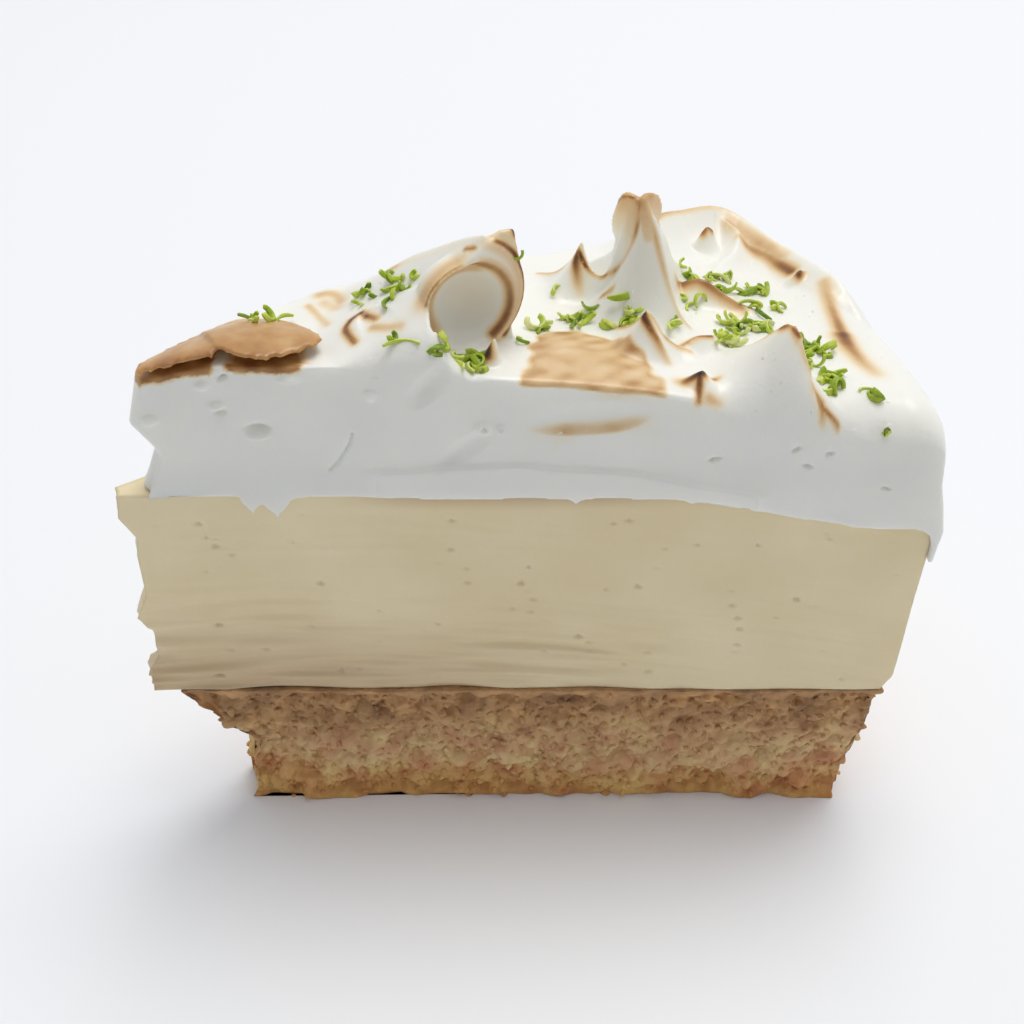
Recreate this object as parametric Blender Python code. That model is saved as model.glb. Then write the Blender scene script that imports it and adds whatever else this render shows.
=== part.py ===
"""A slice of lemon meringue pie: biscuit base, lemon filling, toasted meringue with lime zest.

Every shape is first worked out in the slice's own frame: the pie's centre at x = 0, y = 0, the front
cut face along y = 0, the second cut face SLICE_ANGLE further round, the underside at z = 0. The whole
slice is moved at the end, so that its origin is the middle of its underside.
"""
import math
from collections import namedtuple

import bmesh
import bpy
import numpy as np
from mathutils import Vector
from mathutils.bvhtree import BVHTree

# Driving sizes, in metres
SLICE_ANGLE = math.radians(36)
BASE_TOP = 0.0300
FILLING_TOP = 0.0742
GAP = 0.0003

# The pie's middle and front cut face in the finished part, whose origin is under its middle
CENTRE_X = -0.06295
FRONT_Y = -0.0373

# Base: a thick baked biscuit, crumbled away under the tip
BASE_RIM_BOTTOM = 0.1228
BASE_RIM_TOP = 0.1262
BASE_EDGE_ROUNDING = 0.0010
BASE_EDGE_HEIGHT = 0.0040
BASE_RELIEF = 0.0007
BASE_LOBES = 0.0012
BASE_GRID = (34, 8, 5)

# Filling: a tall set cream with a soft shoulder and a round upper corner at the rim
FILLING_RIM = 0.1272
SHOULDER = (0.085, 0.120)
SHOULDER_DROP = 0.0062
FILLING_CORNER = 0.0040
RIM_UNDERCUT = 0.0015
RIM_UNDERCUT_HEIGHT = 0.0040
TIP_RADIUS = 0.0012
NOSE_SWELL = 0.0014
NOSE_REACH = 0.0200
FILLING_RELIEF = 0.00025
FILLING_GRID = (26, 4, 8)

# Meringue: its plain top, before any peak is pulled up
PLATEAU_HEIGHT = 0.0968
PLATEAU_LEVEL_TO = 0.035
FALL_TO_RIM = 0.103
FALL_TO_BACK = 1.6
TIP_FALL = 0.0022
TIP_FALL_REACH = (0.004, 0.018)
RIM_ROUNDING = 0.0060
RIM_ROUNDING_DROP = 0.0050
MERINGUE_START = 0.0060
MERINGUE_RIM = 0.1263
SKIRT_RIM = 0.1285
SKIRT_BOTTOM = 0.0605
TIP_BLUNTNESS = 0.0012
LIP_OVERHANG = 0.0009
LIP_HEIGHT = 0.0060
MERINGUE_RELIEF = 0.00025
MERINGUE_GRID = (200, 90, 16)
MERINGUE_THINNING = 0.044

# Crests: how round their tops are, how softly two of them meet, and the straight steps along one
CREST_ROUNDING = 0.0004
CREST_BLEND = 0.0012
CREST_STEPS = 16

# Lime zest: thin curled shreds
ZEST_LENGTH = (0.0034, 0.0062)
ZEST_WIDTH = (0.0008, 0.0014)
ZEST_THICKNESS = 0.0006
ZEST_CURL = (1.2, 3.2)
ZEST_LEAN = (0.0, 1.2)
ZEST_TWIST = 0.8
ZEST_SUNK = 0.0007
ZEST_SEED = 7


def clear_scene():
    for thing in list(bpy.data.objects):
        bpy.data.objects.remove(thing, do_unlink=True)


def new_collection(name):
    collection = bpy.data.collections.new(name)
    bpy.context.scene.collection.children.link(collection)
    return collection


def linked(mesh, name, collection):
    made = bpy.data.objects.new(name, mesh)
    collection.objects.link(made)
    return made


def as_guide(made):
    made.hide_render = True
    made.display_type = "WIRE"
    return made


def material(name, colour, roughness):
    made = bpy.data.materials.new(name)
    made.use_nodes = True
    shader = made.node_tree.nodes["Principled BSDF"]
    shader.inputs["Base Color"].default_value = (*colour, 1)
    shader.inputs["Roughness"].default_value = roughness
    shader.inputs["Metallic"].default_value = 0
    made.diffuse_color = (*colour, 1)
    return made


def smooth_step(value, start, end):
    """0 below start, 1 above end, with a soft turn at both."""
    t = np.clip((value - start) / (end - start), 0, 1)
    return t * t * (3 - 2 * t)


def along_profile(height, profile):
    """The distance that a profile of (height, distance) pairs has at a height."""
    heights, distances = zip(*profile)
    return np.interp(height, heights, distances)


def ripple(points, wavelength, seed, waves=8):
    """Smooth seeded unevenness, mostly between -1 and 1."""
    draw = np.random.default_rng(seed)
    total = np.zeros(len(points))
    for _ in range(waves):
        direction = draw.normal(size=3)
        direction /= np.linalg.norm(direction)
        pitch = wavelength * draw.uniform(0.6, 1.6)
        total += np.sin(points @ direction * (2 * math.pi / pitch) + draw.uniform(0, 2 * math.pi))
    return total / math.sqrt(waves)


def clay_block(name, columns, rows, levels):
    """A unit block with gridded faces: x runs from the tip to the rim, y from front to back, z up."""
    block = bmesh.new()
    bmesh.ops.create_grid(block, x_segments=columns, y_segments=rows, size=0.5)
    for vert in block.verts:
        vert.co += Vector((0.5, 0.5, 0))
    top = list(block.faces)
    for level in range(levels):
        below = top
        grown = bmesh.ops.extrude_face_region(block, geom=below)
        top = [item for item in grown["geom"] if isinstance(item, bmesh.types.BMFace)]
        moved = [item for item in grown["geom"] if isinstance(item, bmesh.types.BMVert)]
        bmesh.ops.translate(block, verts=moved, vec=(0, 0, 1 / levels))
        if level > 0:
            bmesh.ops.delete(block, geom=below, context="FACES")
    mesh = bpy.data.meshes.new(name)
    block.to_mesh(mesh)
    block.free()
    return mesh


def shaped(mesh, shape):
    """Move every point of a unit block to where shape puts it, and turn its faces outwards."""
    unit = np.empty(len(mesh.vertices) * 3, dtype=np.float32)
    mesh.vertices.foreach_get("co", unit)
    placed = shape(unit.reshape(-1, 3).astype(float))
    mesh.vertices.foreach_set("co", placed.astype(np.float32).ravel())
    made = bmesh.new()
    made.from_mesh(mesh)
    bmesh.ops.recalc_face_normals(made, faces=made.faces)
    made.to_mesh(mesh)
    made.free()
    return mesh


def polar(radius, share):
    """Plan position at a radius, with share 0 on the front cut face and 1 on the back one."""
    angle = share * SLICE_ANGLE
    return radius * np.cos(angle), radius * np.sin(angle)


def push_out(x, y, share, distance):
    """Shift points that lie on a cut face outwards from the slice by a distance."""
    on_front = share <= 1e-6
    on_back = share >= 1 - 1e-6
    x = x - np.where(on_back, math.sin(SLICE_ANGLE), 0) * distance
    y = y - np.where(on_front, distance, 0) + np.where(on_back, math.cos(SLICE_ANGLE), 0) * distance
    return x, y


# Base

# How far from the pie's centre the base starts at each height: its tip has crumbled away lower down
BASE_TIP_PROFILE = (
    (0.0000, 0.0120),
    (0.0100, 0.0126),
    (0.0166, 0.0131),
    (0.0220, 0.0085),
    (0.0274, 0.0030),
    (0.0300, 0.0030),
)

# The crumb's two sizes of unevenness and the lobes along its foot, by wavelength
COARSE_CRUMB = 0.011
FINE_CRUMB = 0.0055
LOBE_LENGTH = 0.013
LOBE_HEIGHTS = (0.002, 0.009)


def base_shape(unit):
    u, share, w = unit.T
    z = w * BASE_TOP
    start = along_profile(z, BASE_TIP_PROFILE)
    rim = BASE_RIM_BOTTOM + (BASE_RIM_TOP - BASE_RIM_BOTTOM) * smooth_step(z, 0, BASE_TOP)
    rounded = BASE_EDGE_ROUNDING * (1 - np.clip(z / BASE_EDGE_HEIGHT, 0, 1)) ** 2
    radius = start + u * (rim - start - rounded)
    x, y = polar(radius, share)
    at = np.stack([x, y, z], axis=1)
    rough = BASE_RELIEF * (0.6 * ripple(at, COARSE_CRUMB, 11) + 0.5 * ripple(at, FINE_CRUMB, 12))
    off_edges = smooth_step(np.minimum(z, BASE_TOP - z), 0, 0.003)
    lobes = BASE_LOBES * (1 - smooth_step(z, *LOBE_HEIGHTS)) * np.clip(ripple(at, LOBE_LENGTH, 13), 0, 1)
    x, y = push_out(x, y, share, rough * (0.4 + 0.6 * off_edges) + lobes - rounded)
    outward = rough * np.where(u >= 1, 1, np.where(u <= 0, -1, 0))
    angle = share * SLICE_ANGLE
    return np.stack([x + outward * np.cos(angle), y + outward * np.sin(angle), z], axis=1)


def make_base(collection):
    base = linked(shaped(clay_block("biscuit_base", *BASE_GRID), base_shape), "biscuit_base", collection)
    base.data.materials.append(material("baked_biscuit", (0.42, 0.24, 0.10), 0.85))
    return base


# Filling

# The ragged outline of the filling's tip, where the knife dragged it
FILLING_TIP_PROFILE = (
    (0.0310, -0.0032),
    (0.0357, -0.0030),
    (0.0397, -0.0003),
    (0.0456, -0.0004),
    (0.0481, -0.0025),
    (0.0540, 0.0002),
    (0.0627, 0.0005),
    (0.0660, 0.0012),
    (0.0700, -0.0011),
    (0.0730, -0.0006),
)

# The knife's drag marks lie low on the cut face and near the tip
DRAG_MARK_PITCH = 0.006
DRAG_MARK_STRETCH = 0.25
DRAG_TOP = 0.058
DRAG_TOP_FADE = 0.020
DRAG_END = 0.100
DRAG_END_FADE = 0.030
SOFT_WAVES = 0.020
RAGGED_TIP_REACH = 0.015


def filling_top(radius):
    """Level in the middle, lower towards the rim, with a rounded corner there."""
    lowered = FILLING_TOP - SHOULDER_DROP * smooth_step(radius, *SHOULDER)
    into_corner = np.clip(1 - (FILLING_RIM - radius) / FILLING_CORNER, 0, 1)
    return lowered - FILLING_CORNER * (1 - np.sqrt(1 - into_corner ** 2))


def filling_shape(unit, grow=0.0):
    """The filling, or the space that it fills when grown on all sides."""
    u, share, w = unit.T
    bottom = BASE_TOP + GAP - 4 * grow
    top = filling_top(u * FILLING_RIM) + grow
    z = bottom + w * (top - bottom)
    undercut = RIM_UNDERCUT * (1 - smooth_step(z, BASE_TOP, BASE_TOP + RIM_UNDERCUT_HEIGHT))
    radius = TIP_RADIUS + u * (FILLING_RIM + grow - undercut - TIP_RADIUS)
    x, y = polar(radius, share)
    x = x + (along_profile(z, FILLING_TIP_PROFILE) - grow) * (1 - smooth_step(radius, 0, RAGGED_TIP_REACH))
    at = np.stack([x, y, z], axis=1)
    dragged = smooth_step(DRAG_TOP - z, 0, DRAG_TOP_FADE) * smooth_step(DRAG_END - x, 0, DRAG_END_FADE)
    marks = ripple(at * (DRAG_MARK_STRETCH, 1, 1), DRAG_MARK_PITCH, 21) * dragged
    swell = NOSE_SWELL * smooth_step(NOSE_REACH - radius, 0, 0.8 * NOSE_REACH)
    relief = FILLING_RELIEF * (marks + 0.5 * ripple(at, SOFT_WAVES, 22))
    x, y = push_out(x, y, share, relief + swell + grow)
    return np.stack([x, y, z], axis=1)


def make_filling(collection):
    mesh = shaped(clay_block("lemon_filling", *FILLING_GRID), filling_shape)
    filling = linked(mesh, "lemon_filling", collection)
    filling.data.materials.append(material("lemon_cream", (0.62, 0.50, 0.27), 0.5))
    return filling


# Meringue

# How far the top rounds over the front cut face, by the distance from the tip
FRONT_ROUNDING = (
    (0.000, 0.0005),
    (0.034, 0.0006),
    (0.040, 0.0032),
    (0.051, 0.0032),
    (0.058, 0.0006),
    (0.087, 0.0008),
    (0.093, 0.0050),
    (0.098, 0.0075),
    (0.104, 0.0040),
    (0.109, 0.0045),
    (0.114, 0.0080),
    (0.120, 0.0080),
    (0.126, 0.0055),
)

# A crest is pulled up along a path in the slice's frame. Its two flanks fall away over the widths left
# and right, seen along it; a power over 2 hollows them, one near 1 leaves them full.
Crest = namedtuple("Crest", "path left right power")

CRESTS = (
    # Thin thorn left of the tall peak, with three feet
    Crest(((0.0710, 0.0304, 0.1008), (0.0702, 0.0313, 0.0982), (0.0689, 0.0329, 0.0954),
           (0.0675, 0.0345, 0.0935), (0.0654, 0.0369, 0.0920)), 0.0065, 0.0075, 3.0),
    Crest(((0.0710, 0.0304, 0.1008), (0.0711, 0.0298, 0.0980), (0.0715, 0.0288, 0.0952),
           (0.0719, 0.0275, 0.0928)), 0.0045, 0.0045, 2.6),
    # Hanging ridge from the thorn up to the tall peak's top
    Crest(((0.0710, 0.0304, 0.1008), (0.0726, 0.0294, 0.0975), (0.0738, 0.0285, 0.0965),
           (0.0754, 0.0275, 0.0964), (0.0769, 0.0264, 0.0977), (0.0783, 0.0255, 0.0995),
           (0.0793, 0.0248, 0.1019), (0.0798, 0.0245, 0.1040), (0.0800, 0.0243, 0.1075),
           (0.0801, 0.0243, 0.1110)), 0.0060, 0.0110, 3.0),
    # Tall peak: left edge and its tail, front ridge, right edge and its tail
    Crest(((0.0792, 0.0248, 0.1110), (0.0778, 0.0255, 0.1107), (0.0772, 0.0275, 0.1089),
           (0.0768, 0.0295, 0.1065), (0.0769, 0.0310, 0.1042), (0.0775, 0.0322, 0.1020),
           (0.0771, 0.0340, 0.0989), (0.0759, 0.0365, 0.0957), (0.0734, 0.0390, 0.0931)),
          0.0024, 0.0080, 2.4),
    Crest(((0.0801, 0.0244, 0.1109), (0.0819, 0.0235, 0.1078), (0.0827, 0.0231, 0.1055),
           (0.0836, 0.0226, 0.1024), (0.0846, 0.0220, 0.0991), (0.0856, 0.0215, 0.0963),
           (0.0867, 0.0209, 0.0939), (0.0887, 0.0199, 0.0915)), 0.0100, 0.0110, 3.0),
    Crest(((0.0801, 0.0246, 0.1100), (0.0817, 0.0268, 0.1086), (0.0829, 0.0285, 0.1052),
           (0.0842, 0.0306, 0.1022), (0.0855, 0.0332, 0.0991), (0.0872, 0.0367, 0.0950),
           (0.0889, 0.0401, 0.0922), (0.0913, 0.0449, 0.0890)), 0.0080, 0.0090, 2.8),
    # Middle thorn with three feet
    Crest(((0.0800, 0.0119, 0.0990), (0.0792, 0.0134, 0.0967), (0.0782, 0.0151, 0.0949),
           (0.0773, 0.0168, 0.0936), (0.0763, 0.0185, 0.0926)), 0.0075, 0.0085, 2.8),
    Crest(((0.0800, 0.0119, 0.0990), (0.0811, 0.0121, 0.0982), (0.0821, 0.0122, 0.0968),
           (0.0830, 0.0123, 0.0952), (0.0843, 0.0124, 0.0940), (0.0859, 0.0125, 0.0928),
           (0.0880, 0.0120, 0.0921)), 0.0070, 0.0080, 2.8),
    Crest(((0.0800, 0.0119, 0.0990), (0.0814, 0.0108, 0.0969), (0.0826, 0.0099, 0.0953),
           (0.0835, 0.0092, 0.0931), (0.0841, 0.0086, 0.0921)), 0.0050, 0.0055, 2.6),
    # Small thorn at the front edge with three feet
    Crest(((0.0883, 0.0036, 0.0937), (0.0872, 0.0036, 0.0929), (0.0862, 0.0035, 0.0922),
           (0.0855, 0.0035, 0.0917)), 0.0040, 0.0045, 2.2),
    Crest(((0.0883, 0.0036, 0.0937), (0.0893, 0.0044, 0.0922), (0.0906, 0.0049, 0.0915),
           (0.0918, 0.0054, 0.0913)), 0.0040, 0.0040, 2.2),
    Crest(((0.0883, 0.0036, 0.0937), (0.0881, 0.0018, 0.0921), (0.0880, 0.0002, 0.0909)),
          0.0030, 0.0030, 2.0),
    # Two short folds behind it
    Crest(((0.0866, 0.0131, 0.0922), (0.0890, 0.0144, 0.0932), (0.0916, 0.0158, 0.0926)),
          0.0060, 0.0030, 2.0),
    Crest(((0.0893, 0.0335, 0.0920), (0.0903, 0.0331, 0.0928), (0.0916, 0.0325, 0.0933),
           (0.0930, 0.0318, 0.0930), (0.0947, 0.0310, 0.0920), (0.0983, 0.0293, 0.0900)),
          0.0080, 0.0035, 1.8),
    # Broad leaning sheet near the front right
    Crest(((0.0945, 0.0118, 0.0908), (0.0962, 0.0104, 0.0922), (0.0973, 0.0096, 0.0944),
           (0.0984, 0.0089, 0.0966), (0.0995, 0.0081, 0.0986), (0.1005, 0.0074, 0.0998),
           (0.1019, 0.0055, 0.0996), (0.1024, 0.0046, 0.0965), (0.1030, 0.0036, 0.0935),
           (0.1043, 0.0026, 0.0914), (0.1066, 0.0014, 0.0902), (0.1092, 0.0002, 0.0894)),
          0.0036, 0.0125, 1.9),
    # Long browned ridge along the back and the rim, with a knob
    Crest(((0.0820, 0.0540, 0.0900), (0.0877, 0.0600, 0.0915), (0.0924, 0.0640, 0.0905),
           (0.0983, 0.0670, 0.0900), (0.1035, 0.0660, 0.0890), (0.1065, 0.0610, 0.0886),
           (0.1090, 0.0540, 0.0882)), 0.0100, 0.0110, 1.8),
    Crest(((0.1068, 0.0600, 0.0874), (0.1098, 0.0543, 0.0886), (0.1130, 0.0470, 0.0896),
           (0.1152, 0.0413, 0.0902), (0.1170, 0.0362, 0.0898), (0.1179, 0.0330, 0.0872)),
          0.0090, 0.0060, 1.3),
    Crest(((0.1150, 0.0400, 0.0888), (0.1142, 0.0354, 0.0887), (0.1139, 0.0273, 0.0890),
           (0.1147, 0.0180, 0.0886)), 0.0080, 0.0080, 1.6),
    Crest(((0.1098, 0.0421, 0.0884), (0.1107, 0.0429, 0.0895), (0.1115, 0.0437, 0.0885)),
          0.0020, 0.0020, 1.2),
    # Pimple behind the tall peak, in a shallow bowl with a soft rim
    Crest(((0.0955, 0.0572, 0.0893), (0.0964, 0.0578, 0.0903), (0.0975, 0.0585, 0.0895)),
          0.0030, 0.0030, 1.8),
    Crest(((0.1000, 0.0660, 0.0880), (0.1025, 0.0600, 0.0884), (0.1010, 0.0530, 0.0879),
           (0.0980, 0.0490, 0.0875)), 0.0060, 0.0040, 1.5),
    # Little dark thorn in front of the wave
    Crest(((0.0566, 0.0048, 0.0962), (0.0571, 0.0046, 0.0990), (0.0576, 0.0042, 0.0962)),
          0.0022, 0.0022, 1.8),
    # Small toasted fold left of the wave, and the soft mound behind it
    Crest(((0.0381, 0.0046, 0.0984), (0.0371, 0.0066, 0.0992), (0.0367, 0.0082, 0.0997),
           (0.0374, 0.0098, 0.1001), (0.0386, 0.0103, 0.1006), (0.0400, 0.0096, 0.1010),
           (0.0414, 0.0080, 0.1012), (0.0424, 0.0064, 0.1010)), 0.0050, 0.0016, 1.5),
    Crest(((0.0270, 0.0165, 0.0960), (0.0310, 0.0200, 0.0972), (0.0365, 0.0215, 0.0972)),
          0.0080, 0.0090, 1.4),
    # Swell at the front edge
    Crest(((0.0600, 0.0040, 0.0950), (0.0720, 0.0070, 0.0948), (0.0840, 0.0020, 0.0922)),
          0.0130, 0.0130, 1.2),
)

# The wave is a full mound that rolls over towards the front, with a round rise to the left of its open
# side. That side is turned from the front cut face, and holds a round hollow with a lip at its right. The
# hollow's and the lip's middles are (along the open side, height)
MOUND = Crest(((0.0420, 0.0205, 0.0990), (0.0432, 0.0190, 0.1028), (0.0446, 0.0180, 0.1048),
               (0.0477, 0.0160, 0.1070), (0.0520, 0.0125, 0.1104), (0.0560, 0.0098, 0.1124),
               (0.0585, 0.0095, 0.1118)), 0.0100, 0.0165, 1.1)
FRONT_RISE = Crest(((0.0400, 0.0140, 0.0995), (0.0440, 0.0105, 0.1032), (0.0475, 0.0080, 0.1050)),
                   0.0090, 0.0150, 1.3)
WAVE_TURN = math.radians(25)
WAVE_OPENING = 0.01533
OPEN_SIDE_TURNS = (-0.0012, 0.0004)
LEFT_FOOT_TURNS = (-0.0022, 0.0008)
RIGHT_END_TURNS = (0.0045, 0.0080)
HOLLOW_CENTRE = (0.0533, 0.1016)
HOLLOW_RADIUS = 0.0063
HOLLOW_DEPTH = 0.0036
HOLLOW_FRONT = 0.0030
HOLLOW_NARROWS = 0.0009
HOLLOW_THROAT = 0.0014
LIP_CENTRE = (0.0525, 0.1032)
LIP_RADIUS = 0.0098
LIP_DEPTH = 0.0050
LIP_FLARE = 0.0012
LIP_THIN = 0.0008
LIP_NARROWS = (math.radians(50), math.radians(105))
LIP_SWEEP = (math.radians(-62), math.radians(205))
FOOT_SPREAD = 0.45
LIP_GRID = (20, 2, 3)
HOLLOW_GRID = (6, 6, 6)

# Thin sheets pulled out of the mass. Each is a patch over three rows of three points, front or bottom
# row first, with its thickness
Sheet = namedtuple("Sheet", "rows thickness")

SHEETS = {
    "left_blade": Sheet(
        (
            ((0.0773, 0.0318, 0.1022), (0.0780, 0.0300, 0.1010), (0.0792, 0.0252, 0.1015)),
            ((0.0762, 0.0296, 0.1072), (0.0780, 0.0292, 0.1062), (0.0799, 0.0246, 0.1066)),
            ((0.0777, 0.0256, 0.1107), (0.0789, 0.0260, 0.1116), (0.0801, 0.0245, 0.1107)),
        ),
        0.0010,
    ),
    "right_loop": Sheet(
        (
            ((0.0818, 0.0238, 0.1052), (0.0824, 0.0262, 0.1046), (0.0830, 0.0288, 0.1046)),
            ((0.0812, 0.0238, 0.1088), (0.0826, 0.0272, 0.1078), (0.0846, 0.0298, 0.1075)),
            ((0.0801, 0.0244, 0.1108), (0.0814, 0.0262, 0.1119), (0.0830, 0.0284, 0.1096)),
        ),
        0.0010,
    ),
    "wave_fold": Sheet(
        (
            ((0.0585, 0.0125, 0.1076), (0.0604, 0.0125, 0.1068), (0.0622, 0.0122, 0.1070)),
            ((0.0584, 0.0122, 0.1098), (0.0600, 0.0123, 0.1098), (0.0616, 0.0121, 0.1094)),
            ((0.0583, 0.0112, 0.1115), (0.0596, 0.0120, 0.1124), (0.0613, 0.0122, 0.1120)),
        ),
        0.0009,
    ),
    "tip_skin": Sheet(
        (
            ((0.0079, -0.0002, 0.0960), (0.0130, -0.0008, 0.0980), (0.0192, 0.0000, 0.0990)),
            ((0.0084, 0.0030, 0.0962), (0.0130, 0.0040, 0.0982), (0.0190, 0.0050, 0.0993)),
            ((0.0086, 0.0056, 0.0944), (0.0140, 0.0095, 0.0956), (0.0190, 0.0130, 0.0958)),
        ),
        0.0008,
    ),
    "second_skin": Sheet(
        (
            ((0.0193, 0.0016, 0.0994), (0.0264, -0.0044, 0.0988), (0.0338, 0.0044, 0.0985)),
            ((0.0165, 0.0065, 0.0994), (0.0250, 0.0070, 0.1012), (0.0336, 0.0044, 0.0987)),
            ((0.0148, 0.0100, 0.0956), (0.0235, 0.0180, 0.0966), (0.0332, 0.0060, 0.0982)),
        ),
        0.0008,
    ),
}
SHEET_GRID = (6, 4, 1)

# Drips of meringue over the filling: place along the cut face, half width, length
DRIPS = (
    (0.0042, 0.0034, 0.0026),
    (0.0230, 0.0022, 0.0042),
    (0.0267, 0.0034, 0.0050),
    (0.0725, 0.0012, 0.0012),
    (0.0900, 0.0012, 0.0009),
)

# How far from the pie's centre the meringue starts at the tip and ends at the rim, at each height
MERINGUE_TIP_PROFILE = (
    (0.0660, 0.0040),
    (0.0729, 0.0038),
    (0.0780, 0.0062),
    (0.0815, 0.0077),
    (0.0864, 0.0047),
    (0.0956, 0.0075),
    (0.1010, 0.0090),
)
MERINGUE_RIM_PROFILE = (
    (0.0580, 0.1278),
    (0.0610, 0.1281),
    (0.0670, SKIRT_RIM),
    (0.0720, 0.1274),
    (0.0760, MERINGUE_RIM),
)
SKIRT_WAVES = ((0.0012, 9), (0.0008, 31))
SOFT_DENTS = 0.016


def smooth_path(points, steps):
    """Evenly shared points along a smooth curve through the points given."""
    knots = np.array(points, dtype=float)
    knots = np.vstack([2 * knots[0] - knots[1], knots, 2 * knots[-1] - knots[-2]])
    spans = len(points) - 1
    at = np.linspace(0, spans, steps + 1)
    whole = np.minimum(at.astype(int), spans - 1)
    t = (at - whole)[:, None]
    a, b, c, d = (knots[whole + shift] for shift in range(4))
    bend = (2 * a - 5 * b + 4 * c - d) * t ** 2 + (3 * b - a - 3 * c + d) * t ** 3
    return 0.5 * (2 * b + (c - a) * t + bend)


def plateau(x, y):
    """The meringue's top without its peaks."""
    level = PLATEAU_HEIGHT - FALL_TO_RIM * np.clip(x - PLATEAU_LEVEL_TO, 0, None) - FALL_TO_BACK * y ** 2
    return level - TIP_FALL * (1 - smooth_step(x, *TIP_FALL_REACH))


def crest_rise(crest, x, y):
    """How far a crest and its flanks stand over the plateau."""
    path = smooth_path(crest.path, CREST_STEPS)
    rises = np.clip(path[:, 2] - plateau(path[:, 0], path[:, 1]), 0, None)
    tallest = max(rises.max(), 0.0005)
    best = np.zeros(len(x))
    for step in range(len(path) - 1):
        ax, ay = path[step, :2]
        bx, by = path[step + 1, :2]
        length = max((bx - ax) ** 2 + (by - ay) ** 2, 1e-12)
        t = np.clip(((x - ax) * (bx - ax) + (y - ay) * (by - ay)) / length, 0, 1)
        dx = x - ax - t * (bx - ax)
        dy = y - ay - t * (by - ay)
        away = np.sqrt(dx ** 2 + dy ** 2 + CREST_ROUNDING ** 2) - CREST_ROUNDING
        side = (bx - ax) * dy - (by - ay) * dx
        rise = rises[step] + t * (rises[step + 1] - rises[step])
        width = np.where(side > 0, crest.left, crest.right) * (0.4 + 0.6 * rise / tallest)
        best = np.maximum(best, rise * np.clip(1 - away / width, 0, None) ** crest.power)
    return best


def blended(one, other):
    """The higher of two rises, with a soft valley where they meet."""
    alike = np.clip(1 - np.abs(one - other) / CREST_BLEND, 0, None)
    both_up = np.clip(np.minimum(one, other) / CREST_BLEND, 0, 1)
    return np.maximum(one, other) + (alike * both_up) ** 2 * CREST_BLEND / 4


def wave_axes(x, y):
    """Distance along the wave's open side, and out of it."""
    along = x * math.cos(WAVE_TURN) + y * math.sin(WAVE_TURN)
    outward = x * math.sin(WAVE_TURN) - y * math.cos(WAVE_TURN)
    return along, outward


def wave_point(along, outward, z):
    x = along * math.cos(WAVE_TURN) + outward * math.sin(WAVE_TURN)
    y = along * math.sin(WAVE_TURN) - outward * math.cos(WAVE_TURN)
    return np.stack([x, y, z], axis=1)


def meringue_top(x, y):
    """Height of the pulled and spread top at plan positions."""
    total = np.zeros(len(x))
    along, outward = wave_axes(x, y)
    open_side = smooth_step(outward - WAVE_OPENING, *OPEN_SIDE_TURNS)
    left_foot = along - (HOLLOW_CENTRE[0] - HOLLOW_RADIUS)
    spread = FOOT_SPREAD * np.clip(outward - WAVE_OPENING, 0, None)
    open_side = open_side * smooth_step(left_foot, LEFT_FOOT_TURNS[0] - spread, LEFT_FOOT_TURNS[1] + spread)
    right_end = smooth_step(along - LIP_CENTRE[0], *RIGHT_END_TURNS)
    for crest in CRESTS:
        total = blended(total, crest_rise(crest, x, y))
    wave = crest_rise(MOUND, x, y) * (1 - right_end)
    wave = blended(wave, crest_rise(FRONT_RISE, x, y)) * (1 - open_side)
    return plateau(x, y) + blended(total, wave)


def meringue_bottom_edge(x):
    """Where the meringue ends over the filling's front: a wavy lip with a few drips."""
    edge = filling_top(x) - GAP
    for place, width, drop in DRIPS:
        edge = edge - drop * np.clip(1 - np.abs(x - place) / width, 0, 1) ** 1.5
    return edge


def meringue_shape(unit):
    """The whole mass, before the filling's place is cut out of its underside."""
    u, share, w = unit.T
    plain_radius = MERINGUE_START + u * (SKIRT_RIM - MERINGUE_START)
    x, y = polar(plain_radius * MERINGUE_RIM / SKIRT_RIM, share)
    shoulder = np.clip(1 - (SKIRT_RIM - plain_radius) / RIM_ROUNDING, 0, 1)
    top = meringue_top(x, y) - RIM_ROUNDING_DROP * (1 - np.sqrt(1 - shoulder ** 2))
    rounding = along_profile(x, FRONT_ROUNDING)
    over_edge = np.clip(1 - y / rounding, 0, 1)
    top = top - rounding * (1 - np.sqrt(1 - over_edge ** 2))
    skirt = SKIRT_BOTTOM + sum(height * np.sin(share * turns) for height, turns in SKIRT_WAVES)
    bottom = np.where(plain_radius > FILLING_RIM + GAP, skirt, meringue_bottom_edge(plain_radius))
    z = bottom + w * (top - bottom)
    start = along_profile(z, MERINGUE_TIP_PROFILE)
    radius = start + u * (along_profile(z, MERINGUE_RIM_PROFILE) - start)
    near_tip = 1 - smooth_step(radius, MERINGUE_START, 2 * MERINGUE_START)
    x, y = polar(radius + TIP_BLUNTNESS * (2 * share - 1) ** 2 * near_tip, share)
    at = np.stack([x, y, z], axis=1)
    lip = LIP_OVERHANG * (1 - smooth_step(z, FILLING_TOP - 0.001, FILLING_TOP + LIP_HEIGHT))
    x, y = push_out(x, y, share, lip + MERINGUE_RELIEF * ripple(at, SOFT_DENTS, 31))
    return np.stack([x, y, z], axis=1)


def disc(p, q):
    """A unit square's shares moved to a round section, from -1 to 1 both ways."""
    p = 2 * p - 1
    q = 2 * q - 1
    return p * np.sqrt(1 - q ** 2 / 2), q * np.sqrt(1 - p ** 2 / 2)


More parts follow.
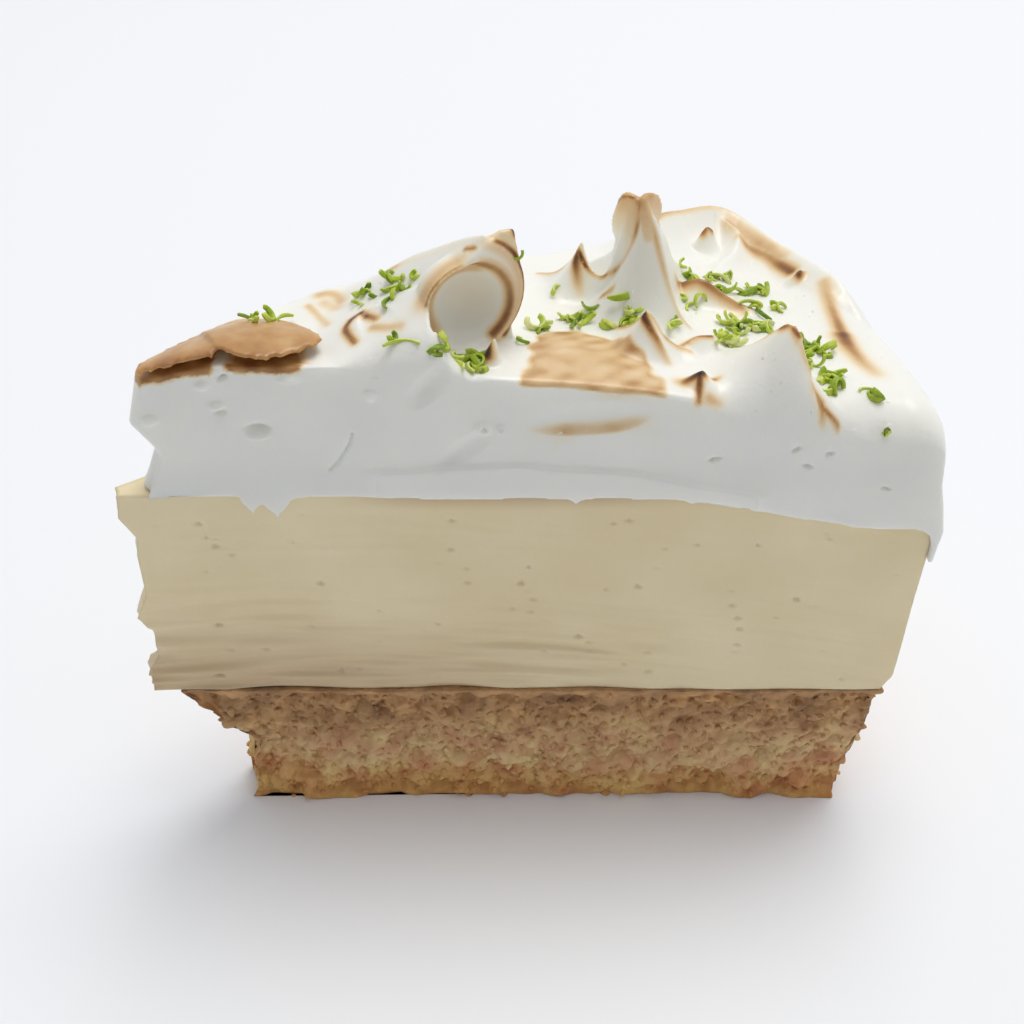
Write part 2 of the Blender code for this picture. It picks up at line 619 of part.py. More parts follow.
def hollow_shape(unit):
    """The round space under the wave's lip, with a rounded inner end."""
    inward, across, up = unit.T
    outward = WAVE_OPENING + HOLLOW_FRONT - inward * (HOLLOW_FRONT + HOLLOW_DEPTH)
    depth = np.clip((WAVE_OPENING - outward) / HOLLOW_DEPTH, 0, 1)
    flare = np.clip((outward - WAVE_OPENING) / HOLLOW_FRONT, 0, 1)
    throat = HOLLOW_RADIUS - HOLLOW_NARROWS * smooth_step(WAVE_OPENING - outward, 0, HOLLOW_THROAT)
    radius = throat * (np.sqrt(1.01 - depth ** 2) + 0.12 * flare)
    across, up = disc(across, up)
    return wave_point(HOLLOW_CENTRE[0] + radius * across, outward, HOLLOW_CENTRE[1] + radius * up)


def lip_shape(unit):
    """The rolled lip round the wave's hollow: a broad band at the right, and only an edge at the left."""
    sweep, out, deep = unit.T
    angle = LIP_SWEEP[0] + sweep * (LIP_SWEEP[1] - LIP_SWEEP[0])
    out, deep = disc(out, deep)
    around = np.array([np.cos(angle), np.sin(angle)])
    throat = HOLLOW_RADIUS - HOLLOW_NARROWS * smooth_step(-deep, -0.8, 0.1)
    inner = np.array(HOLLOW_CENTRE)[:, None] + throat * around
    broad = np.array(LIP_CENTRE)[:, None] + LIP_RADIUS * around
    narrow = smooth_step(angle, *LIP_NARROWS)
    edge = np.array(HOLLOW_CENTRE)[:, None] + (HOLLOW_RADIUS + LIP_THIN) * around
    outer = broad * (1 - narrow) + edge * narrow
    share = 0.5 + 0.5 * out
    along, up = inner * (1 - share) + outer * share
    flare = LIP_FLARE * (1 - 1.4 * narrow) * np.clip(out, 0, 1) ** 2
    outward = WAVE_OPENING + 0.5 * LIP_DEPTH * (deep - 0.8) + flare
    return wave_point(along, outward, up)


def patch_points(rows, u, v):
    """Points of the smooth patch that three rows of three points span."""
    along = np.stack([(1 - u) ** 2, 2 * u * (1 - u), u ** 2], axis=1)
    across = np.stack([(1 - v) ** 2, 2 * v * (1 - v), v ** 2], axis=1)
    return np.einsum("nr,nc,rcd->nd", across, along, np.array(rows))


def sheet_shape(sheet, unit):
    """A sheet of even thickness over its patch."""
    u, v, w = unit.T
    step = 0.01
    along = patch_points(sheet.rows, np.clip(u + step, 0, 1), v)
    along = along - patch_points(sheet.rows, np.clip(u - step, 0, 1), v)
    across = patch_points(sheet.rows, u, np.clip(v + step, 0, 1))
    across = across - patch_points(sheet.rows, u, np.clip(v - step, 0, 1))
    normal = np.cross(along, across)
    normal /= np.linalg.norm(normal, axis=1)[:, None]
    return patch_points(sheet.rows, u, v) + normal * ((w - 0.5) * sheet.thickness)[:, None]


def make_sheets(collection):
    linked(shaped(clay_block("lip", *LIP_GRID), lip_shape), "lip", collection)
    for name, sheet in SHEETS.items():
        mesh = clay_block(name, *SHEET_GRID)
        linked(shaped(mesh, lambda unit: sheet_shape(sheet, unit)), name, collection)


# Lime zest

# Tufts of shreds on the meringue: place in plan, reach round it, number of shreds
ZEST_TUFTS = (
    (0.0252, 0.0120, 0.0028, 4),
    (0.0400, 0.0150, 0.0028, 3),
    (0.0440, 0.0130, 0.0028, 3),
    (0.0450, 0.0030, 0.0010, 1),
    (0.0500, 0.0025, 0.0016, 2),
    (0.0546, 0.0040, 0.0020, 4),
    (0.0622, 0.0108, 0.0008, 1),
    (0.0650, 0.0160, 0.0010, 2),
    (0.0674, 0.0285, 0.0004, 1),
    (0.0712, 0.0210, 0.0026, 4),
    (0.0800, 0.0200, 0.0026, 4),
    (0.0756, 0.0186, 0.0008, 1),
    (0.0868, 0.0185, 0.0012, 1),
    (0.0963, 0.0439, 0.0026, 3),
    (0.0909, 0.0404, 0.0014, 2),
    (0.0970, 0.0360, 0.0020, 2),
    (0.1015, 0.0376, 0.0018, 2),
    (0.1045, 0.0356, 0.0010, 1),
    (0.0902, 0.0300, 0.0012, 1),
    (0.1002, 0.0294, 0.0014, 2),
    (0.0974, 0.0229, 0.0026, 4),
    (0.0999, 0.0237, 0.0018, 2),
    (0.0955, 0.0177, 0.0022, 3),
    (0.0931, 0.0169, 0.0010, 1),
    (0.1071, 0.0191, 0.0022, 3),
    (0.1092, 0.0160, 0.0022, 3),
    (0.1060, 0.0125, 0.0020, 3),
    (0.1076, 0.0096, 0.0020, 3),
    (0.1099, 0.0072, 0.0016, 2),
    (0.1152, 0.0062, 0.0012, 2),
)
SHRED_GRID = (3, 1, 1)
FRONT_MARGIN = 0.0004


def shred_shape(draw, middle, ground, unit):
    """One curled shred: a bent strip whose curl leans over, pressed into the meringue."""
    u, v, w = unit.T
    heading = draw.uniform(0, 2 * math.pi)
    length = draw.uniform(*ZEST_LENGTH)
    width = draw.uniform(*ZEST_WIDTH)
    curl = draw.uniform(*ZEST_CURL) * draw.choice((-1, 1))
    lean = draw.uniform(*ZEST_LEAN)
    twist = draw.uniform(-ZEST_TWIST, ZEST_TWIST)
    bend = curl * (u - 0.5)
    turned = twist * (2 * u - 1)
    across = (v - 0.5) * width
    thick = (w - 0.5) * ZEST_THICKNESS
    # Along the strip, out from its bend and across its bend's plane
    out = across * np.sin(turned) + thick * np.cos(turned)
    level = across * np.cos(turned) - thick * np.sin(turned)
    radius = length / curl
    along = (radius - out) * np.sin(bend)
    aside = radius - (radius - out) * np.cos(bend)
    flat = aside * math.cos(lean) - level * math.sin(lean)
    height = aside * math.sin(lean) + level * math.cos(lean)
    x = middle[0] + along * math.cos(heading) - flat * math.sin(heading)
    y = middle[1] + along * math.sin(heading) + flat * math.cos(heading)
    y = y + max(0, FRONT_MARGIN - y.min())
    return np.stack([x, y, ground + height - height.min() - ZEST_SUNK], axis=1)


def make_zest(collection, meringue):
    """Curled shreds, each lying on the meringue below the middle of it."""
    surface = BVHTree.FromObject(meringue, bpy.context.evaluated_depsgraph_get())
    draw = np.random.default_rng(ZEST_SEED)
    for tuft, (x, y, reach, count) in enumerate(ZEST_TUFTS):
        for shred in range(count):
            turn = draw.uniform(0, 2 * math.pi)
            out = reach * math.sqrt(draw.uniform(0, 1))
            middle = (x + out * math.cos(turn), max(y + out * math.sin(turn), FRONT_MARGIN))
            ground, _, _, _ = surface.ray_cast(Vector((*middle, 2 * PLATEAU_HEIGHT)), Vector((0, 0, -1)))
            name = f"shred_{tuft}_{shred}"
            mesh = clay_block(name, *SHRED_GRID)
            shape = shaped(mesh, lambda unit: shred_shape(draw, middle, ground.z, unit))
            linked(shape, name, collection)


def add_boolean(made, name, operation, cutter, solver="EXACT"):
    change = made.modifiers.new(name, "BOOLEAN")
    change.operation = operation
    change.solver = solver
    if isinstance(cutter, bpy.types.Collection):
        change.operand_type = "COLLECTION"
        change.collection = cutter
    else:
        change.object = cutter


def apply_modifiers(made):
    """Swap the mesh for the shape that its modifiers give."""
    ready = made.evaluated_get(bpy.context.evaluated_depsgraph_get())
    mesh = bpy.data.meshes.new_from_object(ready)
    made.modifiers.clear()
    made.data = mesh


def fuse(made, toppings):
    """Join a collection of toppings to a solid, and remove them."""
    add_boolean(made, toppings.name, "UNION", toppings, "MANIFOLD")
    apply_modifiers(made)
    for topping in list(toppings.objects):
        bpy.data.objects.remove(topping, do_unlink=True)
    bpy.data.collections.remove(toppings)


def keep_largest_body(made):
    """Drop the scraps, sealed hollows and folded slivers that a join can leave, also where they touch."""
    whole = bmesh.new()
    whole.from_mesh(made.data)
    bmesh.ops.triangulate(whole, faces=whole.faces)
    unseen = set(whole.faces)
    bodies = []
    while unseen:
        body = [unseen.pop()]
        for face in body:
            plain_edges = [edge for edge in face.edges if len(edge.link_faces) == 2]
            for other in (face for edge in plain_edges for face in edge.link_faces):
                if other in unseen:
                    unseen.remove(other)
                    body.append(other)
        bodies.append(body)
    bodies.sort(key=len)
    for body in bodies[:-1]:
        bmesh.ops.delete(whole, geom=body, context="FACES")
    whole.to_mesh(made.data)
    whole.free()


def make_meringue(collection, cutters):
    """The mass with its hollow and the filling's place cut out, and sheets and shreds fused on."""
    mesh = shaped(clay_block("meringue", *MERINGUE_GRID), meringue_shape)
    meringue = linked(mesh, "meringue", collection)
    thin_out = meringue.modifiers.new("thin_out", "DECIMATE")
    thin_out.ratio = MERINGUE_THINNING
    hollow = shaped(clay_block("hollow", *HOLLOW_GRID), hollow_shape)
    add_boolean(meringue, "hollow", "DIFFERENCE", as_guide(linked(hollow, "hollow", cutters)))
    space = shaped(clay_block("filling_space", *FILLING_GRID), lambda unit: filling_shape(unit, GAP))
    add_boolean(meringue, "filling_space", "DIFFERENCE", as_guide(linked(space, "filling_space", cutters)))
    sheets = new_collection("sheets")
    make_sheets(sheets)
    fuse(meringue, sheets)
    zest = new_collection("zest")
    make_zest(zest, meringue)
    fuse(meringue, zest)
    keep_largest_body(meringue)
    meringue.data.materials.clear()
    meringue.data.materials.append(material("toasted_meringue", (0.86, 0.83, 0.74), 0.45))
    return meringue


def move_to_part_frame(made):
    for vert in made.data.vertices:
        vert.co.x += CENTRE_X
        vert.co.y += FRONT_Y


def main():
    clear_scene()
    slice_parts = new_collection("lemon_meringue_pie")
    cutters = new_collection("cutters")
    for made in (make_base(slice_parts), make_filling(slice_parts), make_meringue(slice_parts, cutters)):
        move_to_part_frame(made)


main()
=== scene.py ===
import math
from collections import namedtuple

import bmesh
import bpy
import numpy as np
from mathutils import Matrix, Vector
from mathutils.bvhtree import BVHTree


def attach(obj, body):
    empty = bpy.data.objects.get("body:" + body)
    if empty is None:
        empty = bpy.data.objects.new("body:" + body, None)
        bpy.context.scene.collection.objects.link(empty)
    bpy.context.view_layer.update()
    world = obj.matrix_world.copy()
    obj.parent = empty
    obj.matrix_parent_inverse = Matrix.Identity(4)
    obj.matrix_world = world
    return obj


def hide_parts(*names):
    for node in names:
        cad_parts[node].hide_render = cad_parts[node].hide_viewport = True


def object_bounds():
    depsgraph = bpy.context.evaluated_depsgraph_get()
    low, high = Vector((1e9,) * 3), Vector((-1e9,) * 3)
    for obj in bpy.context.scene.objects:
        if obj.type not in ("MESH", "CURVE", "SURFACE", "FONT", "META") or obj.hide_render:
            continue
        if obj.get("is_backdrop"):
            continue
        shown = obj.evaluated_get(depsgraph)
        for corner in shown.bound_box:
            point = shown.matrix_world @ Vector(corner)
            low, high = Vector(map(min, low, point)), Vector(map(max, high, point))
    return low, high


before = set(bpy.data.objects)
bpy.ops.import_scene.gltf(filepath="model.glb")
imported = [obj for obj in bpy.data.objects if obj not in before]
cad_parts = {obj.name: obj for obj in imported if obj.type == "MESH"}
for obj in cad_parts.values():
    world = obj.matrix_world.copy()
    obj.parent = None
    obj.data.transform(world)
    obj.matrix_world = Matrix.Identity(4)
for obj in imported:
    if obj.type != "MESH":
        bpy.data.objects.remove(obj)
cad_low, cad_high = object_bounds()

# Camera
# A close view from the front, looking down on the slice, as in the photograph. Distances are in metres
# from the point that it looks at, which lies in the front cut face, half way up the slice.
CAMERA_TILT = math.radians(39.3)
CAMERA_DISTANCE = 0.1885
CAMERA_AIM = Vector((-0.00195, -0.0373, 0.0705))
FOCAL_SHARE = 1217 / 1024

camera = bpy.data.objects.new("camera", bpy.data.cameras.new("camera"))
bpy.context.scene.collection.objects.link(camera)
bpy.context.scene.camera = camera
camera.data.sensor_width = 36
camera.data.lens = FOCAL_SHARE * camera.data.sensor_width
camera.data.clip_start = 0.005
camera.data.clip_end = 20
away = Vector((0, -math.cos(CAMERA_TILT), math.sin(CAMERA_TILT)))
camera.location = CAMERA_AIM + away * CAMERA_DISTANCE
camera.rotation_euler = (math.pi / 2 - CAMERA_TILT, 0, 0)


# Floor
# A large matt white table top, which runs on past the view on every side.
FLOOR_SIZE = 6
FLOOR_COLOUR = "#eff1f4"
FLOOR_GRAIN = 0.0011
# Bumps are a strength and a distance
FLOOR_BUMP = (0.05, 0.0002)


def linear(colour):
    """A hex colour's red, green, blue and alpha as linear values."""
    channels = [int(colour[at:at + 2], 16) / 255 for at in (1, 3, 5)]
    curved = [c / 12.92 if c <= 0.04045 else ((c + 0.055) / 1.055) ** 2.4 for c in channels]
    return (*curved, 1)


def node(tree, kind, inputs, stops=(), **settings):
    """Adds a node. An input that is another node's socket is linked, and any other value is set."""
    made = tree.nodes.new(kind)
    for name, value in settings.items():
        setattr(made, name, value)
    for name, value in inputs.items():
        if isinstance(value, bpy.types.NodeSocket):
            tree.links.new(value, made.inputs[name])
        else:
            made.inputs[name].default_value = value
    for number, (position, colour) in enumerate(stops):
        stop = made.color_ramp.elements[number] if number < 2 else made.color_ramp.elements.new(position)
        stop.position = position
        stop.color = linear(colour)
    return made


def noise(tree, where, size, detail):
    """Soft noise with blotches of about the size given."""
    inputs = {"Vector": where.outputs["Object"], "Scale": 1 / size, "Detail": detail}
    return node(tree, "ShaderNodeTexNoise", inputs).outputs["Fac"]


def attribute(tree, name):
    return node(tree, "ShaderNodeAttribute", {}, attribute_name=name).outputs["Fac"]


def ramp(tree, value, stops):
    """A colour for a value. The first two stops are the ends, and the others lie between them."""
    return node(tree, "ShaderNodeValToRGB", {"Fac": value}, stops=stops).outputs["Color"]


def multiply_add(tree, value, factor, added):
    made = node(tree, "ShaderNodeMath", {0: value, 1: factor, 2: added}, operation="MULTIPLY_ADD")
    return made.outputs["Value"]


def mix(tree, share, first, second, blend="MIX"):
    """Mixes two colours. The Mix node has three pairs of sockets, so its colour sockets go by number."""
    inputs = {"Factor": share, 6: first, 7: second}
    return node(tree, "ShaderNodeMix", inputs, data_type="RGBA", blend_type=blend).outputs[2]


def set_bump(tree, shader, height, strength, distance):
    bump = node(tree, "ShaderNodeBump", {"Height": height, "Strength": strength, "Distance": distance})
    tree.links.new(bump.outputs["Normal"], shader.inputs["Normal"])


def set_subsurface(shader, weight, radius, scale):
    for name, value in (("Weight", weight), ("Radius", radius), ("Scale", scale)):
        shader.inputs["Subsurface " + name].default_value = value


def new_material(name, colour, roughness):
    made = bpy.data.materials.new(name)
    made.use_nodes = True
    shader = made.node_tree.nodes["Principled BSDF"]
    shader.inputs["Base Color"].default_value = linear(colour)
    shader.inputs["Roughness"].default_value = roughness
    return made, made.node_tree, shader


def linked(mesh, name):
    made = bpy.data.objects.new(name, mesh)
    bpy.context.scene.collection.objects.link(made)
    return made


floor_mesh = bmesh.new()
bmesh.ops.create_grid(floor_mesh, x_segments=1, y_segments=1, size=FLOOR_SIZE / 2)
mesh = bpy.data.meshes.new("floor")
floor_mesh.to_mesh(mesh)
floor_mesh.free()
floor = linked(mesh, "floor")
floor_material, tree, shader = new_material("matt_white_table", FLOOR_COLOUR, 0.7)
grain = node(tree, "ShaderNodeTexNoise", {"Scale": 1 / FLOOR_GRAIN, "Detail": 3.0})
set_bump(tree, shader, grain.outputs["Fac"], *FLOOR_BUMP)
floor.data.materials.append(floor_material)
floor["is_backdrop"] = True


# Light
# Soft daylight from all round, stronger from behind and the right than from the camera's side, and one
# large soft light from above, which leaves the front cut face in a light grey shade.
SKY_COLOUR = "#f3f6fc"
SKY_STRENGTHS = (0.28, 0.72)
SKY_BRIGHT_SIDE = (0.35, 0.85, 0.40)
KEY_POWER = 38
KEY_SIZE = 1.4
KEY_FROM = Vector((0.35, 0.52, 2.4))
KEY_COLOUR = "#fffcf8"

bpy.context.scene.view_settings.view_transform = "Standard"
world = bpy.data.worlds.new("soft_daylight")
world.use_nodes = True
background = world.node_tree.nodes["Background"]
background.inputs["Color"].default_value = linear(SKY_COLOUR)
direction = node(world.node_tree, "ShaderNodeTexCoord", {})
towards_bright = node(
    world.node_tree,
    "ShaderNodeVectorMath",
    {0: direction.outputs["Generated"], 1: SKY_BRIGHT_SIDE},
    operation="DOT_PRODUCT",
)
strength = node(
    world.node_tree,
    "ShaderNodeMapRange",
    {
        "Value": towards_bright.outputs["Value"],
        "From Min": -1.0,
        "From Max": 1.0,
        "To Min": SKY_STRENGTHS[0],
        "To Max": SKY_STRENGTHS[1],
    },
)
world.node_tree.links.new(strength.outputs["Result"], background.inputs["Strength"])
bpy.context.scene.world = world
key = bpy.data.objects.new("key_light", bpy.data.lights.new("key_light", "AREA"))
bpy.context.scene.collection.objects.link(key)
key.data.energy = KEY_POWER
key.data.size = KEY_SIZE
key.data.color = linear(KEY_COLOUR)[:3]
key.location = KEY_FROM
key.rotation_euler = KEY_FROM.to_track_quat("Z", "Y").to_euler()


# Biscuit base
# A thick baked biscuit or shortcrust base, cut with a knife: browned along its top and its rim, paler and
# open inside, with loose golden crumb along its foot. It has crumbled away under the tip.
SLICE_ANGLE = math.radians(36)
CENTRE_X = -0.06295
FRONT_Y = -0.0373
BASE_TOP = 0.0300
GAP = 0.0003
BASE_RIM_BOTTOM = 0.1228
BASE_RIM_TOP = 0.1262
BASE_EDGE_ROUNDING = 0.0010
BASE_EDGE_HEIGHT = 0.0040
BASE_EDGE_FADE = 0.003
BASE_RELIEF = 0.0007
BASE_LOBES = 0.0012
BASE_GRID = (300, 50, 74)
BASE_TIP_PROFILE = (
    (0.0000, 0.0120),
    (0.0100, 0.0126),
    (0.0166, 0.0131),
    (0.0220, 0.0085),
    (0.0274, 0.0030),
    (0.0300, 0.0030),
)
COARSE_CRUMB = 0.011
FINE_CRUMB = 0.0055
LOBE_LENGTH = 0.013
LOBE_HEIGHTS = (0.002, 0.009)
LUMPS = ((0.0085, 0.0009), (0.0042, 0.0009))
LUMPS_DEPTH = sum(depth for size, depth in LUMPS)


def smooth_step(value, start, end):
    """0 below start, 1 above end, with a soft turn at both."""
    t = np.clip((value - start) / (end - start), 0, 1)
    return t * t * (3 - 2 * t)


def along_profile(height, profile):
    """The distance that a profile of (height, distance) pairs has at a height."""
    heights, distances = zip(*profile)
    return np.interp(height, heights, distances)


def ripple(points, wavelength, seed, waves=8):
    """Smooth seeded unevenness, mostly between -1 and 1."""
    draw = np.random.default_rng(seed)
    total = np.zeros(len(points))
    for _ in range(waves):
        direction = draw.normal(size=3)
        direction /= np.linalg.norm(direction)
        pitch = wavelength * draw.uniform(0.6, 1.6)
        total += np.sin(points @ direction * (2 * math.pi / pitch) + draw.uniform(0, 2 * math.pi))
    return total / math.sqrt(waves)


def clay_block(name, columns, rows, levels):
    """A unit block with gridded faces: x runs from the tip to the rim, y from front to back, z up."""
    block = bmesh.new()
    bmesh.ops.create_cube(block, size=1)
    for vert in block.verts:
        vert.co += Vector((0.5, 0.5, 0.5))
    for axis, steps in enumerate((columns, rows, levels)):
        across = [
            edge for edge in block.edges
            if abs(edge.verts[0].co[axis] - edge.verts[1].co[axis]) > 0.9
        ]
        bmesh.ops.subdivide_edges(block, edges=across, cuts=steps - 1, use_grid_fill=True)
    bmesh.ops.recalc_face_normals(block, faces=block.faces)
    mesh = bpy.data.meshes.new(name)
    block.to_mesh(mesh)
    block.free()
    return mesh


def read_points(mesh):
    points = np.empty(len(mesh.vertices) * 3, dtype=np.float32)
    mesh.vertices.foreach_get("co", points)
    return points.reshape(-1, 3).astype(float)


def read_normals(mesh):
    normals = np.empty(len(mesh.vertices) * 3, dtype=np.float32)
    mesh.vertices.foreach_get("normal", normals)
    return normals.reshape(-1, 3)


def write_points(mesh, points):
    mesh.vertices.foreach_set("co", points.astype(np.float32).ravel())
    mesh.update()


def write_values(mesh, name, values):
    """Keep one number for each point, which the materials read by name."""
    mesh.attributes.new(name, "FLOAT", "POINT").data.foreach_set("value", values.astype(np.float32))


def polar(radius, share):
    """Plan position at a radius, with share 0 on the front cut face and 1 on the back one."""
    angle = share * SLICE_ANGLE
    return radius * np.cos(angle), radius * np.sin(angle)


def push_out(x, y, share, distance):
    """Shift points that lie on a cut face outwards from the slice by a distance."""
    on_front = share <= 1e-6
    on_back = share >= 1 - 1e-6
    x = x - np.where(on_back, math.sin(SLICE_ANGLE), 0) * distance
    y = y - np.where(on_front, distance, 0) + np.where(on_back, math.cos(SLICE_ANGLE), 0) * distance
    return x, y


def in_part_frame(points):
    return points + (CENTRE_X, FRONT_Y, 0)


def base_shape(unit):
    """The base's points, and how high each lies between its grooves (0) and its lumps (1)."""
    u, share, w = unit.T
    z = w * BASE_TOP
    start = along_profile(z, BASE_TIP_PROFILE)
    rim = BASE_RIM_BOTTOM + (BASE_RIM_TOP - BASE_RIM_BOTTOM) * smooth_step(z, 0, BASE_TOP)
    rounded = BASE_EDGE_ROUNDING * (1 - np.clip(z / BASE_EDGE_HEIGHT, 0, 1)) ** 2
    radius = start + u * (rim - start - rounded)
    x, y = polar(radius, share)
    at = np.stack([x, y, z], axis=1)
    rough = BASE_RELIEF * (0.6 * ripple(at, COARSE_CRUMB, 11) + 0.5 * ripple(at, FINE_CRUMB, 12))
    off_edges = smooth_step(np.minimum(z, BASE_TOP - z), 0, BASE_EDGE_FADE)
    lobes = BASE_LOBES * (1 - smooth_step(z, *LOBE_HEIGHTS)) * np.clip(ripple(at, LOBE_LENGTH, 13), 0, 1)
    grooves = sum(depth * (np.minimum(np.abs(ripple(at, size, 14, 14)), 1) - 1) for size, depth in LUMPS)
    fine = grooves * off_edges
    x, y = push_out(x, y, share, rough * (0.4 + 0.6 * off_edges) + lobes - rounded + fine)
    outward = (rough + fine) * np.where(u >= 1, 1, np.where(u <= 0, -1, 0))
    angle = share * SLICE_ANGLE
    points = np.stack([x + outward * np.cos(angle), y + outward * np.sin(angle), z], axis=1)
    return points, smooth_step(grooves, -LUMPS_DEPTH, -0.25 * LUMPS_DEPTH)


base_mesh = clay_block("base", *BASE_GRID)
base_at, base_groove_shade = base_shape(read_points(base_mesh))
write_points(base_mesh, in_part_frame(base_at))
# The groove depth is kept for the material, which paints shade into the grooves with it
write_values(base_mesh, "groove_shade_and_tone", base_groove_shade)
base_mesh.shade_smooth()
base = linked(base_mesh, "base")

# Baked biscuit is matt, dry and granular: golden to dark brown where the oven's heat reached it, pale
# and porous inside, with painted shade that darkens its grooves.
CRUMB_GRAIN = 0.0014
MOTTLE_SIZE = 0.006
BLOTCH_SIZE = 0.017
BAND_WANDER = 0.016
SPECKLE_SHARE = 0.5
GROOVE_SHADE_SHARE = 0.25
BASE_BUMP = (0.9, 0.0006)

base_material, tree, shader = new_material("baked_biscuit", "#8e6a45", 0.85)
where = node(tree, "ShaderNodeTexCoord", {})
place = node(tree, "ShaderNodeSeparateXYZ", {"Vector": where.outputs["Object"]})
crumb = node(tree, "ShaderNodeTexVoronoi", {"Vector": where.outputs["Object"], "Scale": 1 / CRUMB_GRAIN})
mottle = noise(tree, where, MOTTLE_SIZE, 6.0)
wander = multiply_add(tree, noise(tree, where, BLOTCH_SIZE, 4.0), BAND_WANDER, -BAND_WANDER / 2)
level = node(tree, "ShaderNodeMath", {0: place.outputs["Z"], 1: wander})
height = node(
    tree, "ShaderNodeMapRange", {"Value": level.outputs["Value"], "From Min": 0.0, "From Max": BASE_TOP}
)
bands = ramp(
    tree,
    height.outputs["Result"],
    (
        (0.0, "#d09f62"), (1.0, "#b8946e"), (0.16, "#dcb177"), (0.38, "#e2c39a"), (0.6, "#d4b38a"),
        (0.8, "#c09c73"),
    ),
)
speckle = ramp(tree, mottle, ((0.32, "#6f5640"), (0.68, "#efe2c6")))
speckled = mix(tree, SPECKLE_SHARE, bands, speckle, "OVERLAY")
# Painted shade: the deeper a groove, the darker its colour
painted_groove_shade = ramp(tree, attribute(tree, "groove_shade_and_tone"), ((0.0, "#96704a"), (1.0, "#ffffff"), (0.35, "#d2b795")))
tree.links.new(mix(tree, GROOVE_SHADE_SHARE, speckled, painted_groove_shade, "MULTIPLY"), shader.inputs["Base Color"])
grit = node(tree, "ShaderNodeMath", {0: crumb.outputs["Distance"], 1: mottle}, operation="ADD")
set_bump(tree, shader, grit.outputs["Value"], *BASE_BUMP)
base.data.materials.append(base_material)
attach(base, "root")
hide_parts("biscuit_base")

# The crumbs that cling to the base's sides, of one lumpy shape at many sizes and turns
CRUMB_SPACING = 0.0019
CRUMB_RADIUS = 0.0009
CRUMB_LEAST = (0.30, 0.30, 0.30)
CRUMB_MOST = (1.10, 1.0, 0.9)
CRUMB_LUMPINESS = 0.0011
CRUMB_CORNERS = 42
CRUMB_LIFT = (0.2, 1.0)
CRUMB_SEED = 3
WALL_TILT = 0.5
FLOOR_CLEARANCE = 0.00005


def crumb_nodes():
    """Scatters crumbs over the walls of the mesh that comes in, and gives only the crumbs out."""
    tree = bpy.data.node_groups.new("clinging_crumbs", "GeometryNodeTree")
    tree.interface.new_socket("Base", in_out="INPUT", socket_type="NodeSocketGeometry")
    tree.interface.new_socket("Spacing", in_out="INPUT", socket_type="NodeSocketFloat")
    tree.interface.new_socket("Radius", in_out="INPUT", socket_type="NodeSocketFloat")
    tree.interface.new_socket("Seed", in_out="INPUT", socket_type="NodeSocketInt")
    tree.interface.new_socket("Crumbs", in_out="OUTPUT", socket_type="NodeSocketGeometry")
    given = node(tree, "NodeGroupInput", {})
    facing = node(tree, "GeometryNodeInputNormal", {})
    parts = node(tree, "ShaderNodeSeparateXYZ", {"Vector": facing.outputs["Normal"]})
    steepness = node(tree, "ShaderNodeMath", {0: parts.outputs["Z"]}, operation="ABSOLUTE")
    on_wall = node(
        tree, "ShaderNodeMath", {0: steepness.outputs["Value"], 1: WALL_TILT}, operation="LESS_THAN"
    )
    points = node(
        tree,
        "GeometryNodeDistributePointsOnFaces",
        {
            "Mesh": given.outputs["Base"],
            "Selection": on_wall.outputs["Value"],
            "Distance Min": given.outputs["Spacing"],
            "Density Max": 1e7,
            "Seed": given.outputs["Seed"],
        },
        distribute_method="POISSON",
    )
    ball = node(tree, "GeometryNodeMeshIcoSphere", {"Radius": given.outputs["Radius"], "Subdivisions": 2})
    lumps = node(tree, "ShaderNodeTexNoise", {"Scale": 1 / CRUMB_RADIUS, "Detail": 1.0})
    middle = node(
        tree, "ShaderNodeVectorMath", {0: lumps.outputs["Color"], 1: (0.5, 0.5, 0.5)}, operation="SUBTRACT"
    )
    lumpy = {0: middle.outputs["Vector"], "Scale": CRUMB_LUMPINESS}
    shift = node(tree, "ShaderNodeVectorMath", lumpy, operation="SCALE")
    crumb = node(
        tree, "GeometryNodeSetPosition", {"Geometry": ball.outputs["Mesh"], "Offset": shift.outputs["Vector"]}
    )
    turn = node(
        tree,
        "FunctionNodeRandomValue",
        {0: (0, 0, 0), 1: (2 * math.pi, 2 * math.pi, 2 * math.pi), "Seed": CRUMB_SEED},
        data_type="FLOAT_VECTOR",
    )
    size = node(
        tree,
        "FunctionNodeRandomValue",
        {0: CRUMB_LEAST, 1: CRUMB_MOST, "Seed": CRUMB_SEED + 1},
        data_type="FLOAT_VECTOR",
    )
    placed = node(
        tree,
        "GeometryNodeInstanceOnPoints",
        {
            "Points": points.outputs["Points"],
            "Instance": crumb.outputs["Geometry"],
            "Rotation": turn.outputs[0],
            "Scale": size.outputs[0],
        },
    )
    real = node(tree, "GeometryNodeRealizeInstances", {"Geometry": placed.outputs["Instances"]})
    finished = node(
        tree, "GeometryNodeSetMaterial", {"Geometry": real.outputs["Geometry"], "Material": base_material}
    )
    node(tree, "NodeGroupOutput", {"Crumbs": finished.outputs["Geometry"]})
    return tree


